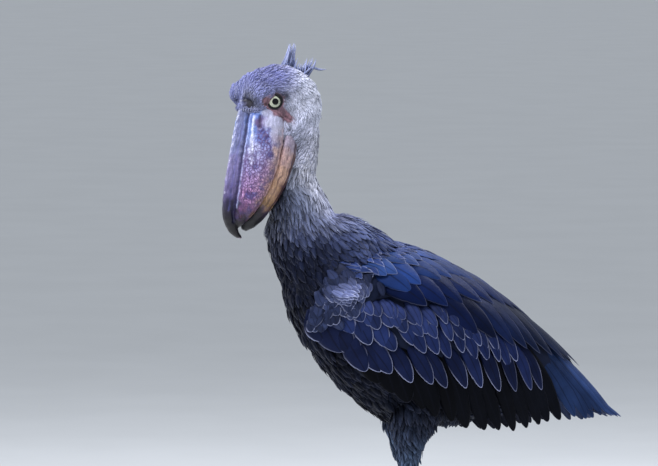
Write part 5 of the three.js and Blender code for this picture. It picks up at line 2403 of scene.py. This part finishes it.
@dataclass
class Bill:
    """The big bill: upper half with its ridge and hook, and lower half, parted by the line of the mouth."""

    place: Place
    finish: bpy.types.Material
    voxel: float = 1.5
    gap: float = 0.8
    wander: float = 3.2  # millimetres that the edges of the washes stray by
    batch: int = 20000  # points measured at a time

    @staticmethod
    def mouth(forward: Array) -> Array:
        """Gives the height of the mouth's line at places along the bill."""
        points = Line([(x, y, 0) for x, y in MOUTH]).at(np.linspace(0, 1, 200))
        return np.interp(forward, np.maximum.accumulate(points[:, 0]), points[:, 1])

    def half(self, upper: bool) -> Object:
        """Makes the upper or lower half, cut off at the mouth.

        Args:
            upper: Whether it is the upper one.

        Returns:
            The half in one smooth surface.
        """
        body = bill_loft(UPPER_BILL if upper else LOWER_BILL)
        points = body.points.copy()
        edge = self.mouth(points[:, 0]) + (self.gap if upper else -self.gap) / 2
        points[:, 1] = (np.maximum if upper else np.minimum)(points[:, 1], edge)
        parts = [Mesh(points, body.faces)]
        if upper:
            ridge = [(a, b, 0, half, high, high) for a, b, half, high in CULMEN]
            parts.append(loft(ridge, 32, 170, ACROSS_HEAD))
        mesh = join(parts)
        name = f"bill_{'upper' if upper else 'lower'}_horn"
        return fused(name, self.place, Mesh(HEAD.out(mesh.points), mesh.faces), self.voxel, 3)

    def near(self, points: Array, line: Array) -> Array:
        """Gives the distance of points from the nearest point of a line.

        Args:
            points: The points.
            line: Points of the line.

        Returns:
            Distances.
        """
        starts = range(0, len(points), self.batch)
        parts = (points[start : start + self.batch] for start in starts)
        return np.concatenate([np.linalg.norm(part[:, None] - line, axis=2).min(axis=1) for part in parts])

    def paint(self, made: Object, washes: Sequence[Wash], strokes: Sequence[Stroke]) -> None:
        """Colours and carves one half.

        Args:
            made: The half.
            washes: Its colours.
            strokes: Its lines.
        """
        points = HEAD.into(self.place.read(made))
        normals = read(made.data.vertices, "normal", 3) @ HEAD.axes.T
        face = folded(points, 2)
        apart = face + 50 * np.sign(points[:, 2:3])
        wander = np.column_stack([Ripple(SEED + 80 + k, 16)(apart) for k in range(3)])
        spread = face + wander * self.wander
        distance = np.stack([away(spread, wash.at) / wash.reach for wash in washes], axis=1) ** 1.6
        weight = np.exp((distance.min(axis=1, keepdims=True) - distance) * 1.7)
        weight /= weight.sum(axis=1, keepdims=True)
        colour = np.exp(weight @ np.log([tone(wash.colour) for wash in washes]))
        mottle, pale = (weight @ [getattr(wash, name) for wash in washes] for name in ("mottle", "pale"))
        move = 0.35 * Ripple(SEED + 84, 14)(points) + 0.25 * Ripple(SEED + 85, 6)(points) * (0.3 + mottle)
        surface = tree_of(face)
        for stroke in strokes:
            line = Line(stroke.points).at(np.linspace(0, 1, 120))
            line = np.array([surface.find(Vector(point))[0] for point in line])
            share = hump(self.near(face + stroke.wobble * wander, line), stroke.width * 0.75)
            colour += (tone(stroke.colour) - colour) * (share * stroke.share)[:, None]
            move -= stroke.depth * share
        self.place.write(made, HEAD.out(points + normals * move[:, None]))
        # Millimetres along the horn, and across it at 70 mm from a middle that lies below the bill's own
        grain = np.column_stack([points[:, 0], np.arctan2(points[:, 2], points[:, 1] + 60) * 70])
        floats = {"mottle": mottle, "pale": pale}
        Paint(floats, colours={"plumage": colour}, maps={"grain": grain}).apply(made.data)
        made.data.shade_smooth()

    def build(self) -> list[Object]:
        """Makes both halves.

        Returns:
            The upper and the lower half.
        """
        made = []
        for piece, washes, strokes in (
            (self.half(True), UPPER_WASHES, UPPER_STROKES),
            (self.half(False), LOWER_WASHES, LOWER_STROKES),
        ):
            self.paint(piece, washes, strokes)
            made.append(settle(piece, Slot.BILL, (piece.name.removesuffix("_horn"),), self.finish))
        return made


# Eyes and lids


@dataclass
class Eye:
    """An eye with its lid ring."""

    side: Side
    place: Place
    finish: bpy.types.Material
    lid_finish: bpy.types.Material
    radius: float = 13.0
    cornea: float = 0.9  # how far the cornea bulges
    lid: float = 11.6
    forward: float = 0.3  # how far the eye looks to the front
    steps: tuple[int, int] = (48, 64)  # of the ball, along and round its axis
    lid_steps: tuple[int, int] = (96, 20)  # round the eye and round the lid

    def __post_init__(self) -> None:
        """Sets up the eye's middle, its axis and two ways across it, in the head's frame."""
        self.out = unit(np.array([0, self.forward, -1.0 * self.side.value]))
        first = np.array([-1.0, 0, 0])
        self.across = np.stack([first, np.cross(self.out, first)])
        self.centre = np.array([0, 0, -EYE_OFFSET * self.side.value])

    def circle(self, turn: Array) -> Array:
        """Gives ways from the axis at turns round it."""
        return np.cos(turn)[:, None] * self.across[0] + np.sin(turn)[:, None] * self.across[1]

    def ball(self) -> Object:
        """Makes the eyeball with its bulging cornea.

        Returns:
            The ball.
        """
        rings, around = self.steps
        polar = np.linspace(0, math.pi, rings + 2)[1:-1]
        turn = np.linspace(0, TURN, around, endpoint=False)
        bulge = (self.radius + self.cornea * hump(polar, 0.6))[:, None, None]
        ways = np.cos(polar)[:, None, None] * self.out + np.sin(polar)[:, None, None] * self.circle(turn)
        ends = [self.centre + self.out * (self.radius + self.cornea), self.centre - self.out * self.radius]
        mesh = closed(self.centre + bulge * ways, np.array(ends))
        ring = np.where(polar < 1.5, self.radius * np.sin(np.minimum(polar, 1.5)), self.radius)
        spoke = np.column_stack([np.tile(turn / TURN, rings), np.repeat(polar * self.radius, around)])
        paint = Paint(
            floats={"ring": np.append(np.repeat(ring, around), [0, self.radius])},
            maps={"spoke": np.vstack([spoke, [[0, 0], [0, 40]]])},
        )
        points = self.place.metres(HEAD.out(mesh.points))
        return new_object(f"eye_{self.side.label}_ball", points, mesh.faces, paint)

    def rim(self) -> Object:
        """Makes the lid as a thick creased ring, heavier above and behind the eye.

        Returns:
            The lid.
        """
        around, section = self.lid_steps
        turn = np.linspace(0, TURN, around, endpoint=False)
        angle = np.linspace(0, TURN, section, endpoint=False)
        lean = -0.55 * self.side.value
        brow = np.exp(-(((turn - lean + math.pi) % TURN - math.pi) ** 2) / 0.7)
        ring = self.lid + 0.2 * np.sin(turn * 3)
        thick = (2.1 + 2.0 * brow + 0.15 * np.sin(turn * 23))[:, None]
        high = 7.6 + 0.8 * brow
        points = (
            self.centre
            + self.circle(turn)[:, None] * (ring[:, None] + thick * np.cos(angle))[..., None]
            + self.out * (high[:, None] + thick * 0.9 * np.sin(angle))[..., None]
        )
        i, j = (steps.ravel() for steps in np.meshgrid(np.arange(around), np.arange(section), indexing="ij"))
        k, m = (i + 1) % around, (j + 1) % section
        faces = np.column_stack([i * section + j, k * section + j, k * section + m, i * section + m])
        share = smooth(0.2, 0.95, np.tile(np.cos(angle), around))[:, None]
        paint = Paint(colours={"plumage": tone("#0b0a0d") * (1 - share) + tone("#4c3f4b") * share})
        points = self.place.metres(HEAD.out(points.reshape(-1, 3)))
        return turned_out(new_object(f"lid_{self.side.label}", points, faces.tolist(), paint))

    def build(self) -> list[Object]:
        """Makes the eye's pieces.

        Returns:
            The ball and the lid.
        """
        return [
            settle(self.ball(), Slot.EYE, (f"eye_{self.side.label}",), self.finish),
            settle(self.rim(), Slot.HEAD, ("head",), self.lid_finish),
        ]


# Legs and feet


@dataclass(frozen=True)
class Toe:
    """One toe: length, turn away from straight ahead and radius at its root."""

    name: str
    length: float
    turn: float
    radius: float


TOES = (
    Toe("middle", 158, 4, 8.2),
    Toe("inner", 118, -20, 7.6),
    Toe("outer", 134, 30, 7.8),
    Toe("hind", 66, 176, 7.2),
)


@dataclass
class Leg:
    """The bare shank, its foot and its claws."""

    side: Side
    place: Place
    finish: bpy.types.Material
    claw_finish: bpy.types.Material
    pad_y: float = -10.0
    plate: float = 9.0  # height of one plate of the shank
    toe_plate: float = 5.0
    claw_length: float = 19.0
    # Share of the claw's length, height and radius
    claw: tuple[Row, ...] = (
        (-0.35, 4.4, 3.6), (0.1, 4.8, 3.4), (0.5, 4.2, 2.5), (0.85, 2.6, 1.3), (1, 1.6, 0.5),
    )

    def shank(self) -> Object:
        """Makes the shank with raised plates down its front.

        Returns:
            The shank.
        """
        x, back = FORM.leg_x * self.side.value, FORM.leg_back(self.side)
        mesh = loft([(x, y + back, z, w, d, d) for y, z, w, d in FORM.shank], around=40, along=200)
        points, centre = mesh.points, np.array([x, back, 0])
        front = smooth(0.2, -0.8, (points[:, 1] - back) / 10)
        plates = np.abs(np.sin(points[:, 2] * math.pi / self.plate)) ** 0.4
        out = unit((points - centre) * [1, 1, 0])
        points = points + out * ((plates - 0.7) * 0.9 * front * (points[:, 2] > 25))[:, None]
        return new_object(f"shank_{self.side.label}_skin", self.place.metres(points), mesh.faces)

    def on_floor(self, name: str, toe: Toe, stations: Sequence[Row], steps: tuple[int, int]) -> Object:
        """Makes a body that lies on the floor along a toe's way.

        Args:
            name: Name of the object.
            toe: The toe.
            stations: Length from the foot's middle, height, half width, radius above and below.
            steps: Points round it and steps along it.

        Returns:
            The body.
        """
        turn = toe.turn * DEG
        way = np.array([math.sin(turn) * self.side.value, -math.cos(turn), 0])
        root = np.array([FORM.leg_x * self.side.value, self.pad_y + FORM.leg_back(self.side), 0.0])
        rows = [(*(root + way * length)[:2], *sizes) for length, *sizes in stations]
        mesh = loft(rows, *steps, side=np.cross(way, [0, 0, 1]))
        points = mesh.points.copy()
        points[:, 2] = np.maximum(points[:, 2], 0.0)
        return new_object(name, self.place.metres(points), mesh.faces)

    def toe(self, toe: Toe) -> Object:
        """Makes a toe with its joints and plates.

        Args:
            toe: The toe.

        Returns:
            The toe's skin.
        """
        f = np.linspace(0, 1, 40)
        radius = toe.radius * (1 - 0.38 * f) * (1 + 0.1 * np.cos(4 * TURN * f))
        wide = radius * (1 + 0.03 * np.sign(np.sin(f * toe.length * math.pi / self.toe_plate)))
        height = radius - 0.9 + 3 * (1 - f) ** 3
        stations = np.column_stack([f * toe.length, height, wide, wide, radius])
        return self.on_floor(f"toe_{self.side.label}_{toe.name}_skin", toe, stations, (24, 120))

    def claw_of(self, toe: Toe) -> Object:
        """Makes a claw at the end of a toe.

        Args:
            toe: The toe.

        Returns:
            The claw.
        """
        stations = [(toe.length + self.claw_length * f, z, r, r, r) for f, z, r in self.claw]
        return self.on_floor(f"claw_{self.side.label}_{toe.name}_horn", toe, stations, (20, 40))

    def build(self) -> list[Object]:
        """Makes the leg's pieces.

        Returns:
            Shank, toes and claws.
        """
        side = self.side.label
        made = [settle(turned_out(self.shank()), Slot.LEG, (f"shank_{side}",), self.finish)]
        for toe in TOES:
            skin, horn = turned_out(self.toe(toe)), turned_out(self.claw_of(toe))
            made.append(settle(skin, Slot.LEG, (f"toe_{side}_{toe.name}",), self.finish))
            made.append(settle(horn, Slot.CLAW, (f"claw_{side}_{toe.name}",), self.claw_finish))
        return made


# Studio


@dataclass(frozen=True)
class Lamp:
    """A soft round light."""

    name: str
    way: Place3  # from the bird, as right, up and back to the camera
    far: float  # metres
    size: float  # metres
    power: float  # watts
    colour: str


LAMPS = (
    Lamp("key", (-0.6, 1.0, 0.7), 3.2, 1.5, 115, "#f6f6ff"),
    Lamp("rim_left", (-1.0, 0.5, -0.55), 3.2, 0.8, 70, "#f4f6ff"),
    Lamp("rim", (0.5, 1.0, -0.8), 3.4, 1.4, 90, "#eef2ff"),
)


@dataclass
class Studio:
    """Floor, camera and lights."""

    place: Place
    azimuth: float = 72 * DEG
    height: float = 4 * DEG
    distance: float = 9000.0
    scale: float = 1.65  # millimetres in one pixel at the bird
    width: int = 658
    middle: tuple[float, float] = (-71, 452)  # pixels from the bird's middle and above the floor
    sensor: float = 36.0
    floor_size: float = 240.0  # metres from the middle to the edge, so that it fills the whole picture
    lit: Place3 = (0, 0, 700)  # the place that the lights are turned to
    air: str = "#e2e8f4"
    air_power: float = 0.8

    def __post_init__(self) -> None:
        """Sets up the ways to the right, up and back to the camera."""
        flat = np.array([math.sin(self.azimuth), -math.cos(self.azimuth), 0])
        self.right = np.array([math.cos(self.azimuth), math.sin(self.azimuth), 0])
        self.back = flat * math.cos(self.height) + np.array([0, 0, math.sin(self.height)])
        self.up = np.cross(self.back, self.right)

    def camera(self) -> None:
        """Places the camera."""
        target = self.right * (self.middle[0] * self.scale) + np.array([0, 0, self.middle[1] * self.scale])
        eye = self.place.metres(target + self.back * self.distance)
        data = bpy.data.cameras.new("camera")
        data.sensor_width = self.sensor
        data.lens = self.sensor * self.distance / (self.width * self.scale)
        data.clip_end = 400
        camera = in_scene("camera", data)
        axes = Matrix((self.right, self.up, self.back)).transposed()
        camera.matrix_world = Matrix.Translation(Vector(eye)) @ axes.to_4x4()
        bpy.context.scene.camera = camera

    def floor(self) -> None:
        """Lays the floor."""
        level = float(self.place.shift[2])
        corners = ((-1, -1), (1, -1), (1, 1), (-1, 1))
        points = [(x * self.floor_size, y * self.floor_size, level) for x, y in corners]
        floor = new_object("studio_floor", np.array(points), [(0, 1, 2, 3)])
        floor.data.materials.append(FloorFinish().make())

    def light(self, lamp: Lamp) -> None:
        """Adds a light.

        Args:
            lamp: The light.
        """
        out = unit(lamp.way[0] * self.right + lamp.way[1] * self.up + lamp.way[2] * self.back)
        data = bpy.data.lights.new(lamp.name, "AREA")
        data.shape = "DISK"
        data.size = lamp.size
        data.energy = lamp.power
        data.color = srgb(lamp.colour)[:3]
        light = in_scene(lamp.name, data)
        light.location = Vector(self.place.metres(np.array(self.lit)) + out * lamp.far)
        light.rotation_euler = Vector(out).to_track_quat("Z", "Y").to_euler()

    def build(self) -> None:
        """Sets up the studio."""
        self.camera()
        self.floor()
        for lamp in LAMPS:
            self.light(lamp)
        world = bpy.data.worlds.new("studio_air")
        bpy.context.scene.world = world
        world.use_nodes = True
        world.node_tree.nodes.clear()
        graph = Graph(world.node_tree)
        air = graph.add(Kind.WORLD, {"Color": srgb(self.air), "Strength": self.air_power})
        graph.add(Kind.WORLD_OUTPUT, air)
        bpy.context.scene.view_settings.view_transform = "Standard"


def wing_tree() -> KDTree:
    """Gathers points of both wings' surfaces, to find the skin that they cover.

    Returns:
        The points, a little below the feathers.
    """
    s, q = (part.ravel() for part in np.meshgrid(np.arange(10, 500, 8.0), np.arange(20, 270, 8.0)))
    keep = q < 300 - 0.35 * np.abs(s - 200)
    depth = np.full(keep.sum(), -12.0)
    return tree_of(np.vstack([WingForm(side)(s[keep], q[keep], depth) for side in Side]))


def main() -> None:
    """Builds the bird piece by piece and sets up the studio."""
    logging.basicConfig(level=logging.INFO, format="%(message)s")
    place = Place()
    head = PlumageFinish(
        "plush_head_feathers", 0.62, 0.1, 0.28, fringe_mm=2.5, shaft_share=0.1, vary=0.13, root_dark=0.9
    )
    neck = PlumageFinish(
        "streaked_neck_hackles", 0.62, 0.07, 0.08, fringe_mm=2.6, shaft_share=0.22, vary=0.4, root_dark=0.75
    )
    body = PlumageFinish("body_contour_feathers", 0.62, 0.05, 0.0, shaft_share=0.35, vary=0.35, root_dark=0.6)
    flight = PlumageFinish("silky_flight_vanes", 0.5, 0.04, 0.0, "#b4bade", root_dark=0.72)
    head, neck, body, flight = (finish.make() for finish in (head, neck, body, flight))
    bare = SkinFinish().make()
    skin = Skin(place)
    built = settle(skin.build(), Slot.BODY, skin.nodes, bare)
    Coat(place, built, {"head": head, "neck": neck, "body": body, "thighs": body}).build(wing_tree())
    for side in Side:
        Wing(side, place, flight).build()
        Eye(side, place, EyeFinish().make(), bare).build()
        Leg(side, place, ScaleFinish().make(), ClawFinish().make()).build()
    Tail(place, flight).build()
    Crest(place, head).build()
    Bill(place, HornFinish().make()).build()
    Studio(place).build()


if __name__ == "__main__":
    main()
